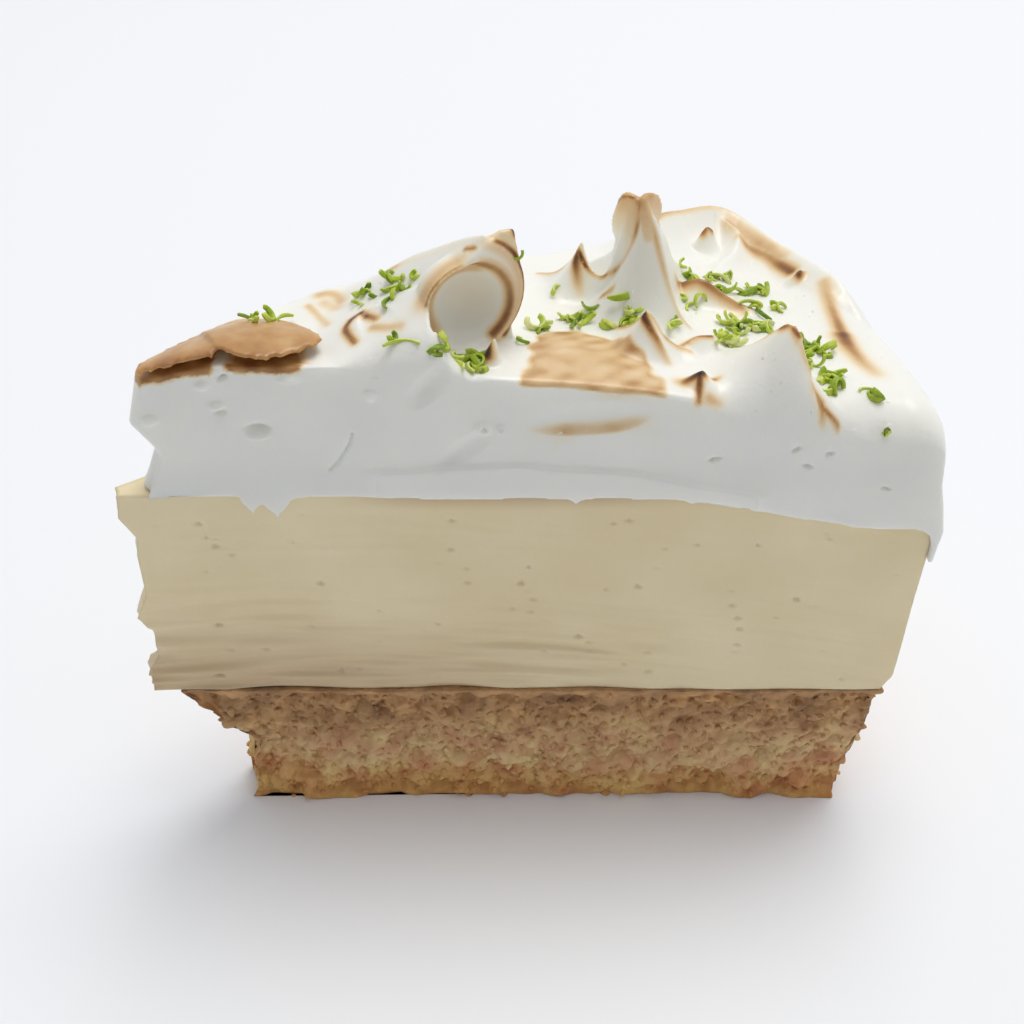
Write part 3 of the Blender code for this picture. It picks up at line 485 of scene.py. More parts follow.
crumbs = linked(base_mesh.copy(), "base_crumbs")
scatter = crumbs.modifiers.new("clinging_crumbs", "NODES")
scatter.node_group = crumb_nodes()
settings = {"Spacing": CRUMB_SPACING, "Radius": CRUMB_RADIUS, "Seed": CRUMB_SEED}
for socket in scatter.node_group.interface.items_tree:
    if socket.in_out == "INPUT" and socket.name in settings:
        scatter[socket.identifier] = settings[socket.name]
crumb_mesh = bpy.data.meshes.new_from_object(crumbs.evaluated_get(bpy.context.evaluated_depsgraph_get()))
crumbs.modifiers.clear()
crumbs.data = crumb_mesh
crumb_points = np.clip(read_points(crumb_mesh), cad_low, cad_high)
crumb_points[:, 2] = np.clip(crumb_points[:, 2], FLOOR_CLEARANCE, BASE_TOP)
write_points(crumb_mesh, crumb_points)
# Each crumb gets one random tone in the same attribute, which on the base holds painted groove shade
crumb_lift = np.random.default_rng(CRUMB_SEED).uniform(*CRUMB_LIFT, len(crumb_points) // CRUMB_CORNERS)
crumb_mesh.attributes.remove(crumb_mesh.attributes["groove_shade_and_tone"])
write_values(crumb_mesh, "groove_shade_and_tone", np.repeat(crumb_lift, CRUMB_CORNERS))
crumb_mesh.shade_smooth()
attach(crumbs, "root")
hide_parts("biscuit_base")


# Lemon filling
# A tall layer of set lemon cream, cut with a knife that dragged wrinkles across its lower part and left
# small pits all over it. It is moist and soft, and a little light goes into it.
FILLING_TOP = 0.0742
FILLING_RIM = 0.1272
SHOULDER = (0.085, 0.120)
SHOULDER_DROP = 0.0062
FILLING_CORNER = 0.0040
RIM_UNDERCUT = 0.0015
RIM_UNDERCUT_HEIGHT = 0.0040
TIP_RADIUS = 0.0012
NOSE_SWELL = 0.0011
NOSE_REACH = 0.0200
FILLING_RELIEF = 0.00025
FILLING_GRID = (250, 20, 150)
FILLING_TIP_PROFILE = (
    (0.0310, -0.0030),
    (0.0357, -0.0028),
    (0.0397, -0.0003),
    (0.0456, -0.0004),
    (0.0481, -0.0025),
    (0.0540, 0.0002),
    (0.0627, 0.0005),
    (0.0660, 0.0012),
    (0.0700, -0.0011),
    (0.0730, -0.0006),
)
DRAG_MARK_PITCH = 0.006
DRAG_MARK_STRETCH = 0.25
DRAG_TOP = 0.058
DRAG_TOP_FADE = 0.020
DRAG_END = 0.100
DRAG_END_FADE = 0.030
RAGGED_TIP_REACH = 0.015
SOFT_WAVES = 0.02
# Wrinkles of two sizes: pitch, share of the depth and seed
WRINKLES = ((0.0052, 0.6, 24), (0.0028, 0.4, 26))
WRINKLE_DEPTH = 0.0009
WRINKLE_STRETCH = 0.10
WRINKLE_ARCH = 1.3
WRINKLE_ARCH_TOP = 0.032
WRINKLE_PATCHES = 0.020
PIT_COUNT = 90
PIT_RADIUS = (0.00025, 0.00045)
PIT_DEPTH = 1.0
PIT_SEED = 5
# How far the pits keep from the filling's ends, its foot and its top
PIT_MARGIN = 0.004
PIT_LOWEST = 0.002
PIT_HIGHEST = 0.003


def filling_top(radius):
    """Level in the middle, lower towards the rim, with a rounded corner there."""
    lowered = FILLING_TOP - SHOULDER_DROP * smooth_step(radius, *SHOULDER)
    into_corner = np.clip(1 - (FILLING_RIM - radius) / FILLING_CORNER, 0, 1)
    return lowered - FILLING_CORNER * (1 - np.sqrt(1 - into_corner ** 2))


def pits(radius, z, share, face):
    """Depth of the small seeded pits on the front cut face (face 0) or the back one (face 1)."""
    draw = np.random.default_rng(PIT_SEED + face)
    on_face = np.abs(share - face) < 1e-6
    total = np.zeros(len(z))
    for _ in range(PIT_COUNT):
        middle_x = draw.uniform(PIT_MARGIN, FILLING_RIM - PIT_MARGIN)
        middle_z = draw.uniform(BASE_TOP + PIT_LOWEST, FILLING_TOP - PIT_HIGHEST)
        size = draw.uniform(*PIT_RADIUS) * draw.choice((0.8, 1.0, 1.4))
        stretch = draw.uniform(0.9, 1.5)
        near = on_face & (np.abs(radius - middle_x) < 3 * size) & (np.abs(z - middle_z) < 2 * size)
        out = ((radius[near] - middle_x) / (size * stretch)) ** 2 + ((z[near] - middle_z) / size) ** 2
        total[near] += PIT_DEPTH * size * np.clip(1 - out, 0, 1)
    return total


def wrinkles(at):
    """Long uneven folds, sharp outside and round between, that the knife dragged in shallow arcs."""
    level = at[:, 2] + WRINKLE_ARCH * (at[:, 0] - WRINKLE_ARCH_TOP) ** 2
    stretched = np.stack([at[:, 0] * WRINKLE_STRETCH, at[:, 1], level], axis=1)
    fold = sum(
        share * (1 - np.abs(ripple(stretched, pitch, seed, 14))) for pitch, share, seed in WRINKLES
    )
    patchy = smooth_step(ripple(at * (0.4, 1, 1), WRINKLE_PATCHES, 25), -0.9, 0.7)
    return WRINKLE_DEPTH * (fold - 0.9) * (0.3 + 0.7 * patchy)


def filling_shape(unit):
    u, share, w = unit.T
    bottom = BASE_TOP + GAP
    top = filling_top(u * FILLING_RIM)
    z = bottom + w * (top - bottom)
    undercut = RIM_UNDERCUT * (1 - smooth_step(z, BASE_TOP, BASE_TOP + RIM_UNDERCUT_HEIGHT))
    radius = TIP_RADIUS + u * (FILLING_RIM - undercut - TIP_RADIUS)
    x, y = polar(radius, share)
    x = x + along_profile(z, FILLING_TIP_PROFILE) * (1 - smooth_step(radius, 0, RAGGED_TIP_REACH))
    at = np.stack([x, y, z], axis=1)
    dragged = smooth_step(DRAG_TOP - z, 0, DRAG_TOP_FADE) * smooth_step(DRAG_END - x, 0, DRAG_END_FADE)
    marks = ripple(at * (DRAG_MARK_STRETCH, 1, 1), DRAG_MARK_PITCH, 21) * dragged
    swell = NOSE_SWELL * smooth_step(NOSE_REACH - radius, 0, 0.8 * NOSE_REACH)
    relief = FILLING_RELIEF * (marks + 0.5 * ripple(at, SOFT_WAVES, 22))
    relief = relief + wrinkles(at) * (0.10 + 0.90 * dragged)
    sunk = pits(radius, z, share, 0) + pits(radius, z, share, 1)
    x, y = push_out(x, y, share, relief + swell - sunk)
    return np.stack([x, y, z], axis=1)


filling_mesh = clay_block("filling", *FILLING_GRID)
filling_at = filling_shape(read_points(filling_mesh))
write_points(filling_mesh, in_part_frame(filling_at))
filling_mesh.shade_smooth()
filling = linked(filling_mesh, "filling")

# Set lemon cream is a moist, opaque pale yellow gel: half glossy, with light scattering a little way in.
# It is browner low down near the tip, where juice from the base has soaked in, and has painted shade in a
# band just under the meringue's overhanging edge.
FILLING_CLOUD = 0.020
FILLING_PORE = 0.0011
FILLING_BUMP = (0.22, 0.0003)
# Subsurface light is a weight, its reach in red, green and blue, and the size of that reach
FILLING_SUBSURFACE = (0.2, (1.0, 0.8, 0.4), 0.0025)
FOOT_SOAK = 0.7
FOOT_SOAK_HEIGHTS = (0.030, 0.052)
FOOT_SOAK_ENDS = (0.02, 0.09)
TOP_SHADE = 0.8
TOP_SHADE_HEIGHTS = (0.0705, 0.0740)
TOP_SHADE_STARTS = (0.03, 0.05)
TOP_SHADE_ENDS = (0.07, 0.10)

foot_soak = 1 - smooth_step(filling_at[:, 2], *FOOT_SOAK_HEIGHTS)
foot_soak = foot_soak * (1 - smooth_step(filling_at[:, 0], *FOOT_SOAK_ENDS))
# Painted shade: a brown band along the filling's top, where the meringue's edge overhangs it
painted_top_shade = smooth_step(filling_at[:, 2], *TOP_SHADE_HEIGHTS) * smooth_step(filling_at[:, 0], *TOP_SHADE_STARTS)
painted_top_shade = painted_top_shade * (1 - smooth_step(filling_at[:, 0], *TOP_SHADE_ENDS))
write_values(filling_mesh, "soak_and_shade", np.clip(FOOT_SOAK * foot_soak + TOP_SHADE * painted_top_shade, 0, 1))
filling_material, tree, shader = new_material("set_lemon_cream", "#d9cb9c", 0.42)
where = node(tree, "ShaderNodeTexCoord", {})
cream = ramp(tree, noise(tree, where, FILLING_CLOUD, 5.0), ((0.3, "#e9d6ab"), (0.7, "#f1e1ba")))
soaked_and_shaded = mix(tree, attribute(tree, "soak_and_shade"), cream, linear("#c4a47e"))
tree.links.new(soaked_and_shaded, shader.inputs["Base Color"])
set_bump(tree, shader, noise(tree, where, FILLING_PORE, 4.0), *FILLING_BUMP)
set_subsurface(shader, *FILLING_SUBSURFACE)
filling.data.materials.append(filling_material)
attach(filling, "root")
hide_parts("lemon_filling")


# Meringue
# Glossy whipped egg white, spread over the filling, pulled up into peaks, thorns and a rolled wave with a
# spatula, and toasted with a flame, which browned its crests and scorched their tips. The front was cut
# with the slice and shows small dents and bubbles.
PLATEAU_HEIGHT = 0.0968
PLATEAU_LEVEL_TO = 0.035
FALL_TO_RIM = 0.103
FALL_TO_BACK = 1.6
TIP_FALL = 0.0022
TIP_FALL_REACH = (0.004, 0.018)
RIM_ROUNDING = 0.0060
RIM_ROUNDING_DROP = 0.0050
MERINGUE_START = 0.0060
MERINGUE_RIM = 0.1263
SKIRT_RIM = 0.1285
SKIRT_BOTTOM = 0.0605
TIP_BLUNTNESS = 0.0012
LIP_OVERHANG = 0.0009
LIP_HEIGHT = 0.0060
MERINGUE_RELIEF = 0.00025
MERINGUE_GRID = (360, 150, 30)
CREST_ROUNDING = 0.00022
CREST_BLEND = 0.0012
CREST_STEPS = 16
FRONT_ROUNDING = (
    (0.000, 0.0005),
    (0.034, 0.0006),
    (0.040, 0.0032),
    (0.051, 0.0032),
    (0.058, 0.0006),
    (0.087, 0.0008),
    (0.093, 0.0050),
    (0.098, 0.0075),
    (0.104, 0.0040),
    (0.109, 0.0045),
    (0.114, 0.0080),
    (0.120, 0.0080),
    (0.126, 0.0055),
)

# A crest is pulled up along a path. Its two flanks fall away over the widths left and right, seen along
# it; a power over 2 hollows them, one near 1 leaves them full. Toast is how dark it is at its start and
# its end, and how far that reaches left and right.
Crest = namedtuple("Crest", "path left right power toast", defaults=(None,))

CRESTS = (
    # Thin thorn left of the tall peak, with three feet
    Crest(((0.0710, 0.0304, 0.1008), (0.0702, 0.0313, 0.0982), (0.0689, 0.0329, 0.0954),
           (0.0675, 0.0345, 0.0935), (0.0654, 0.0369, 0.0920)), 0.0065, 0.0075, 3.0,
          (1.1, 0.35, 0.0004, 0.0005)),
    Crest(((0.0710, 0.0304, 0.1008), (0.0711, 0.0298, 0.0980), (0.0715, 0.0288, 0.0952),
           (0.0719, 0.0275, 0.0928)), 0.0045, 0.0045, 2.6,
          (1.0, 0.30, 0.0009, 0.0009)),
    # Hanging ridge from the thorn up to the tall peak's top
    Crest(((0.0710, 0.0304, 0.1008), (0.0726, 0.0294, 0.0975), (0.0738, 0.0285, 0.0965),
           (0.0754, 0.0275, 0.0964), (0.0769, 0.0264, 0.0977), (0.0783, 0.0255, 0.0995),
           (0.0793, 0.0248, 0.1019), (0.0798, 0.0245, 0.1040), (0.0800, 0.0243, 0.1075),
           (0.0801, 0.0243, 0.1110)), 0.0060, 0.0110, 3.0,
          (0.9, 0.5, 0.0005, 0.0004)),
    # Tall peak: left edge and its tail, front ridge, right edge and its tail
    Crest(((0.0792, 0.0248, 0.1110), (0.0778, 0.0255, 0.1107), (0.0772, 0.0275, 0.1089),
           (0.0768, 0.0295, 0.1065), (0.0769, 0.0310, 0.1042), (0.0775, 0.0322, 0.1020),
           (0.0771, 0.0340, 0.0989), (0.0759, 0.0365, 0.0957), (0.0734, 0.0390, 0.0931)), 0.0024, 0.0080, 2.4,
          (0.45, 0.0, 0.0005, 0.0005)),
    Crest(((0.0801, 0.0244, 0.1109), (0.0819, 0.0235, 0.1078), (0.0827, 0.0231, 0.1055),
           (0.0836, 0.0226, 0.1024), (0.0846, 0.0220, 0.0991), (0.0856, 0.0215, 0.0963),
           (0.0867, 0.0209, 0.0939), (0.0887, 0.0199, 0.0915)), 0.0100, 0.0110, 3.0,
          (0.42, 0.32, 0.0005, 0.0005)),
    Crest(((0.0801, 0.0246, 0.1100), (0.0817, 0.0268, 0.1086), (0.0829, 0.0285, 0.1052),
           (0.0842, 0.0306, 0.1022), (0.0855, 0.0332, 0.0991), (0.0872, 0.0367, 0.0950),
           (0.0889, 0.0401, 0.0922), (0.0913, 0.0449, 0.0890)), 0.0080, 0.0090, 2.8,
          (0.4, 0.25, 0.0004, 0.0005)),
    # Middle thorn with three feet
    Crest(((0.0800, 0.0119, 0.0990), (0.0792, 0.0134, 0.0967), (0.0782, 0.0151, 0.0949),
           (0.0773, 0.0168, 0.0936), (0.0763, 0.0185, 0.0926)), 0.0075, 0.0085, 2.8,
          (0.95, 0.35, 0.0004, 0.0006)),
    Crest(((0.0800, 0.0119, 0.0990), (0.0811, 0.0121, 0.0982), (0.0821, 0.0122, 0.0968),
           (0.0830, 0.0123, 0.0952), (0.0843, 0.0124, 0.0940), (0.0859, 0.0125, 0.0928),
           (0.0880, 0.0120, 0.0921)), 0.0070, 0.0080, 2.8,
          (1.15, 0.35, 0.0005, 0.0006)),
    Crest(((0.0800, 0.0119, 0.0990), (0.0814, 0.0108, 0.0969), (0.0826, 0.0099, 0.0953),
           (0.0835, 0.0092, 0.0931), (0.0841, 0.0086, 0.0921)), 0.0050, 0.0055, 2.6,
          (0.9, 0.30, 0.0007, 0.0008)),
    # Small thorn at the front edge with three feet
    Crest(((0.0883, 0.0036, 0.0937), (0.0872, 0.0036, 0.0929), (0.0862, 0.0035, 0.0922),
           (0.0855, 0.0035, 0.0917)), 0.0040, 0.0045, 2.2,
          (1.1, 0.4, 0.0006, 0.0012)),
    Crest(((0.0883, 0.0036, 0.0937), (0.0893, 0.0044, 0.0922), (0.0906, 0.0049, 0.0915),
           (0.0918, 0.0054, 0.0913)), 0.0040, 0.0040, 2.2,
          (1.0, 0.5, 0.0004, 0.0006)),
    Crest(((0.0883, 0.0036, 0.0937), (0.0881, 0.0018, 0.0921), (0.0880, 0.0002, 0.0909)),
          0.0030, 0.0030, 2.0,
          (1.1, 0.6, 0.0007, 0.0007)),
    # Two short folds behind it
    Crest(((0.0866, 0.0131, 0.0922), (0.0890, 0.0144, 0.0932), (0.0916, 0.0158, 0.0926)),
          0.0060, 0.0030, 2.0,
          (0.5, 0.8, 0.0003, 0.0006)),
    Crest(((0.0893, 0.0335, 0.0920), (0.0903, 0.0331, 0.0928), (0.0916, 0.0325, 0.0933),
           (0.0930, 0.0318, 0.0930), (0.0947, 0.0310, 0.0920), (0.0983, 0.0293, 0.0900)),
          0.0080, 0.0035, 1.8,
          (0.7, 0.6, 0.0003, 0.0016)),
    # Broad leaning sheet near the front right
    Crest(((0.0945, 0.0118, 0.0908), (0.0962, 0.0104, 0.0922), (0.0973, 0.0096, 0.0944),
           (0.0984, 0.0089, 0.0966), (0.0995, 0.0081, 0.0986), (0.1005, 0.0074, 0.0998),
           (0.1019, 0.0055, 0.0996), (0.1024, 0.0046, 0.0965), (0.1030, 0.0036, 0.0935),
           (0.1043, 0.0026, 0.0914), (0.1066, 0.0014, 0.0902), (0.1092, 0.0002, 0.0894)),
          0.0036, 0.0125, 1.9,
          (0.35, 0.6, 0.0006, 0.0004)),
    # Long browned ridge along the back and the rim
    Crest(((0.0820, 0.0540, 0.0900), (0.0877, 0.0600, 0.0915), (0.0924, 0.0640, 0.0905),
           (0.0983, 0.0670, 0.0900), (0.1035, 0.0660, 0.0890), (0.1065, 0.0610, 0.0886),
           (0.1090, 0.0540, 0.0882)), 0.0100, 0.0110, 1.8,
          (0.65, 0.1, 0.0009, 0.0009)),
    Crest(((0.1068, 0.0600, 0.0874), (0.1098, 0.0543, 0.0886), (0.1130, 0.0470, 0.0896),
           (0.1152, 0.0413, 0.0902), (0.1170, 0.0362, 0.0898), (0.1179, 0.0330, 0.0872)),
          0.0090, 0.0060, 1.3),
    Crest(((0.1150, 0.0400, 0.0888), (0.1142, 0.0354, 0.0887), (0.1139, 0.0273, 0.0890),
           (0.1147, 0.0180, 0.0886)), 0.0080, 0.0080, 1.6),
    # Toasted knob at its end
    Crest(((0.1098, 0.0421, 0.0884), (0.1107, 0.0429, 0.0895), (0.1115, 0.0437, 0.0885)),
          0.0020, 0.0020, 1.2),
    # Little browned nub between the tall peak and that ridge
    Crest(((0.0955, 0.0572, 0.0893), (0.0964, 0.0578, 0.0903), (0.0975, 0.0585, 0.0895)),
          0.0030, 0.0030, 1.8,
          (0.65, 0.85, 0.0011, 0.0011)),
    # Rim of the shallow bowl behind the tall peak
    Crest(((0.1000, 0.0660, 0.0880), (0.1025, 0.0600, 0.0884), (0.1010, 0.0530, 0.0879),
           (0.0980, 0.0490, 0.0875)), 0.0060, 0.0040, 1.5),
    # Little dark thorn in front of the wave
    Crest(((0.0566, 0.0048, 0.0962), (0.0571, 0.0046, 0.0990), (0.0576, 0.0042, 0.0962)),
          0.0022, 0.0022, 1.8,
          (1.0, 1.0, 0.0010, 0.0010)),
    # Small toasted fold left of the wave, and the soft mound behind it
    Crest(((0.0381, 0.0046, 0.0984), (0.0371, 0.0066, 0.0992), (0.0367, 0.0082, 0.0997),
           (0.0374, 0.0098, 0.1001), (0.0386, 0.0103, 0.1006), (0.0400, 0.0096, 0.1010),
           (0.0414, 0.0080, 0.1012), (0.0424, 0.0064, 0.1010)), 0.0050, 0.0016, 1.5),
    Crest(((0.0270, 0.0165, 0.0960), (0.0310, 0.0200, 0.0972), (0.0365, 0.0215, 0.0972)),
          0.0080, 0.0090, 1.4),
    # Swell at the front edge
    Crest(((0.0600, 0.0040, 0.0950), (0.0720, 0.0070, 0.0948), (0.0840, 0.0020, 0.0922)),
          0.0130, 0.0130, 1.2),
)

# The wave is a full mound that rolls over towards the front, with a round rise to the left of its open
# side. That side is turned from the front cut face, and holds a round hollow with a lip at its right. The
# hollow's and the lip's middles are (along the open side, height)
MOUND = Crest(((0.0420, 0.0205, 0.0990), (0.0432, 0.0190, 0.1028), (0.0446, 0.0180, 0.1048),
               (0.0477, 0.0160, 0.1070), (0.0520, 0.0125, 0.1104), (0.0560, 0.0098, 0.1124),
               (0.0585, 0.0095, 0.1118)), 0.0100, 0.0165, 1.1,
              (0.50, 0.34, 0.0009, 0.0003))
FRONT_RISE = Crest(((0.0400, 0.0140, 0.0995), (0.0440, 0.0105, 0.1032), (0.0475, 0.0080, 0.1050)),
                   0.0090, 0.0150, 1.3)
WAVE_TURN = math.radians(25)
WAVE_OPENING = 0.01533
HOLLOW_CENTRE = (0.0533, 0.1016)
HOLLOW_RADIUS = 0.0063
HOLLOW_DEPTH = 0.0036
HOLLOW_FRONT = 0.0030
HOLLOW_NARROWS = 0.0009
HOLLOW_THROAT = 0.0014
LIP_CENTRE = (0.0525, 0.1032)
LIP_RADIUS = 0.0098
LIP_DEPTH = 0.0050
LIP_FLARE = 0.0012
LIP_THIN = 0.0008
LIP_NARROWS = (math.radians(50), math.radians(105))
FOOT_SPREAD = 0.45
# Where the mound turns into its open side, its left foot and its right end, from each one's place
OPEN_SIDE_TURNS = (-0.0012, 0.0004)
LEFT_FOOT_TURNS = (-0.0022, 0.0008)
RIGHT_END_TURNS = (0.0045, 0.0080)
LIP_SWEEP = (math.radians(-62), math.radians(205))
LIP_GRID = (120, 14, 14)
HOLLOW_GRID = (40, 24, 24)

# A thin curled sheet spans three rows of three points. Toast is how dark its first and its last row are,
# and ragged is how uneven its first row's edge is
Sheet = namedtuple("Sheet", "rows thickness toast ragged", defaults=(0.0,))

SHEETS = {
    "left_blade": Sheet(
        (
            ((0.0773, 0.0318, 0.1022), (0.0780, 0.0300, 0.1010), (0.0792, 0.0252, 0.1015)),
            ((0.0762, 0.0296, 0.1072), (0.0780, 0.0292, 0.1062), (0.0799, 0.0246, 0.1066)),
            ((0.0777, 0.0256, 0.1107), (0.0789, 0.0260, 0.1116), (0.0801, 0.0245, 0.1107)),
        ),
        0.0010,
        (0.02, 0.44),
    ),
    "right_loop": Sheet(
        (
            ((0.0818, 0.0238, 0.1052), (0.0824, 0.0262, 0.1046), (0.0830, 0.0288, 0.1046)),
            ((0.0812, 0.0238, 0.1088), (0.0826, 0.0272, 0.1078), (0.0846, 0.0298, 0.1075)),
            ((0.0801, 0.0244, 0.1108), (0.0814, 0.0262, 0.1119), (0.0830, 0.0284, 0.1096)),
        ),
        0.0010,
        (0.22, 0.48),
    ),
    "wave_fold": Sheet(
        (
            ((0.0585, 0.0125, 0.1076), (0.0604, 0.0125, 0.1068), (0.0622, 0.0122, 0.1070)),
            ((0.0584, 0.0122, 0.1098), (0.0600, 0.0123, 0.1098), (0.0616, 0.0121, 0.1094)),
            ((0.0583, 0.0112, 0.1115), (0.0596, 0.0120, 0.1124), (0.0613, 0.0122, 0.1120)),
        ),
        0.0009,
        (0.16, 0.26),
    ),
    "tip_skin": Sheet(
        (
            ((0.0079, -0.0002, 0.0960), (0.0130, -0.0008, 0.0980), (0.0192, 0.0000, 0.0990)),
            ((0.0084, 0.0030, 0.0962), (0.0130, 0.0040, 0.0982), (0.0190, 0.0050, 0.0993)),
            ((0.0086, 0.0056, 0.0944), (0.0140, 0.0095, 0.0956), (0.0190, 0.0130, 0.0958)),
        ),
        0.0008,
        (0.60, 0.52),
        0.0003,
    ),
    "second_skin": Sheet(
        (
            ((0.0193, 0.0016, 0.0994), (0.0264, -0.0044, 0.0988), (0.0338, 0.0044, 0.0985)),
            ((0.0165, 0.0065, 0.0994), (0.0250, 0.0070, 0.1012), (0.0336, 0.0044, 0.0987)),
            ((0.0148, 0.0100, 0.0956), (0.0235, 0.0180, 0.0966), (0.0332, 0.0060, 0.0982)),
        ),
        0.0008,
        (0.58, 0.50),
        0.0003,
    ),
}
SHEET_GRID = (70, 50, 3)
RAGGED_PITCH = 0.0014

DRIPS = (
    (0.0042, 0.0034, 0.0026),
    (0.0230, 0.0022, 0.0042),
    (0.0267, 0.0034, 0.0050),
    (0.0725, 0.0012, 0.0012),
    (0.0900, 0.0012, 0.0009),
)
MERINGUE_TIP_PROFILE = (
    (0.0660, 0.0040),
    (0.0729, 0.0038),
    (0.0780, 0.0062),
    (0.0815, 0.0077),
    (0.0864, 0.0047),
    (0.0956, 0.0075),
    (0.1010, 0.0090),
)
MERINGUE_RIM_PROFILE = (
    (0.0580, 0.1278),
    (0.0610, 0.1281),
    (0.0670, SKIRT_RIM),
    (0.0720, 0.1274),
    (0.0760, MERINGUE_RIM),
)
SKIRT_WAVES = ((0.0012, 9), (0.0008, 31))
SOFT_DENTS = 0.016
REMESH_SIZE = 0.00031
MERINGUE_TRIANGLES = 115000
LONGEST_TOP_EDGE = 0.0007
ALL_TOP_ABOVE = 0.0915
LOWEST_TOP = 0.0835


def smooth_path(points, steps):
    """Evenly shared points along a smooth curve through the points given."""
    knots = np.array(points, dtype=float)
    knots = np.vstack([2 * knots[0] - knots[1], knots, 2 * knots[-1] - knots[-2]])
    spans = len(points) - 1
    at = np.linspace(0, spans, steps + 1)
    whole = np.minimum(at.astype(int), spans - 1)
    t = (at - whole)[:, None]
    a, b, c, d = (knots[whole + shift] for shift in range(4))
    bend = 2 * a - 5 * b + 4 * c - d
    return 0.5 * (2 * b + (c - a) * t + bend * t ** 2 + (3 * b - a - 3 * c + d) * t ** 3)


def plateau(x, y):
    """The meringue's top without its peaks."""
    level = PLATEAU_HEIGHT - FALL_TO_RIM * np.clip(x - PLATEAU_LEVEL_TO, 0, None) - FALL_TO_BACK * y ** 2
    return level - TIP_FALL * (1 - smooth_step(x, *TIP_FALL_REACH))


def crest_rise(crest, x, y):
    """How far a crest and its flanks stand over the plateau."""
    path = smooth_path(crest.path, CREST_STEPS)
    rises = np.clip(path[:, 2] - plateau(path[:, 0], path[:, 1]), 0, None)
    tallest = max(rises.max(), 0.0005)
    widest = max(crest.left, crest.right)
    low = path.min(axis=0) - widest
    high = path.max(axis=0) + widest
    near = np.nonzero((x > low[0]) & (x < high[0]) & (y > low[1]) & (y < high[1]))[0]
    near_x, near_y = x[near], y[near]
    best = np.zeros(len(near))
    for step in range(len(path) - 1):
        ax, ay = path[step, :2]
        bx, by = path[step + 1, :2]
        length = max((bx - ax) ** 2 + (by - ay) ** 2, 1e-12)
        t = np.clip(((near_x - ax) * (bx - ax) + (near_y - ay) * (by - ay)) / length, 0, 1)
        dx = near_x - ax - t * (bx - ax)
        dy = near_y - ay - t * (by - ay)
        away = np.sqrt(dx ** 2 + dy ** 2 + CREST_ROUNDING ** 2) - CREST_ROUNDING
        side = (bx - ax) * dy - (by - ay) * dx
        rise = rises[step] + t * (rises[step + 1] - rises[step])
        width = np.where(side > 0, crest.left, crest.right) * (0.4 + 0.6 * rise / tallest)
        best = np.maximum(best, rise * np.clip(1 - away / width, 0, None) ** crest.power)
    whole = np.zeros(len(x))
    whole[near] = best
    return whole


def blended(one, other):
    """The higher of two rises, with a soft valley where they meet."""
    alike = np.clip(1 - np.abs(one - other) / CREST_BLEND, 0, None)
    both_up = np.clip(np.minimum(one, other) / CREST_BLEND, 0, 1)
    return np.maximum(one, other) + (alike * both_up) ** 2 * CREST_BLEND / 4


def wave_axes(x, y):
    """Distance along the wave's open side, and out of it."""
    along = x * math.cos(WAVE_TURN) + y * math.sin(WAVE_TURN)
    outward = x * math.sin(WAVE_TURN) - y * math.cos(WAVE_TURN)
    return along, outward


def wave_point(along, outward, z):
    x = along * math.cos(WAVE_TURN) + outward * math.sin(WAVE_TURN)
    y = along * math.sin(WAVE_TURN) - outward * math.cos(WAVE_TURN)
    return np.stack([x, y, z], axis=1)


def meringue_top(x, y):
    """Height of the pulled and spread top at plan positions."""
    total = np.zeros(len(x))
    along, outward = wave_axes(x, y)
    left_foot = HOLLOW_CENTRE[0] - HOLLOW_RADIUS
    before_opening = smooth_step(outward, *(WAVE_OPENING + turn for turn in OPEN_SIDE_TURNS))
    spread = FOOT_SPREAD * np.clip(outward - WAVE_OPENING, 0, None)
    foot_start = left_foot + LEFT_FOOT_TURNS[0] - spread
    foot_end = left_foot + LEFT_FOOT_TURNS[1] + spread
    open_side = before_opening * smooth_step(along, foot_start, foot_end)
    right_end = smooth_step(along, *(LIP_CENTRE[0] + turn for turn in RIGHT_END_TURNS))
    for crest in CRESTS:
        total = blended(total, crest_rise(crest, x, y))
    wave = crest_rise(MOUND, x, y) * (1 - right_end)
    wave = blended(wave, crest_rise(FRONT_RISE, x, y)) * (1 - open_side)
    return plateau(x, y) + blended(total, wave)


def meringue_bottom_edge(x):
    """Where the meringue ends over the filling's front: a wavy lip with a few drips."""
    edge = filling_top(x) - GAP
    for place, width, drop in DRIPS:
        edge = edge - drop * np.clip(1 - np.abs(x - place) / width, 0, 1) ** 1.5
    return edge


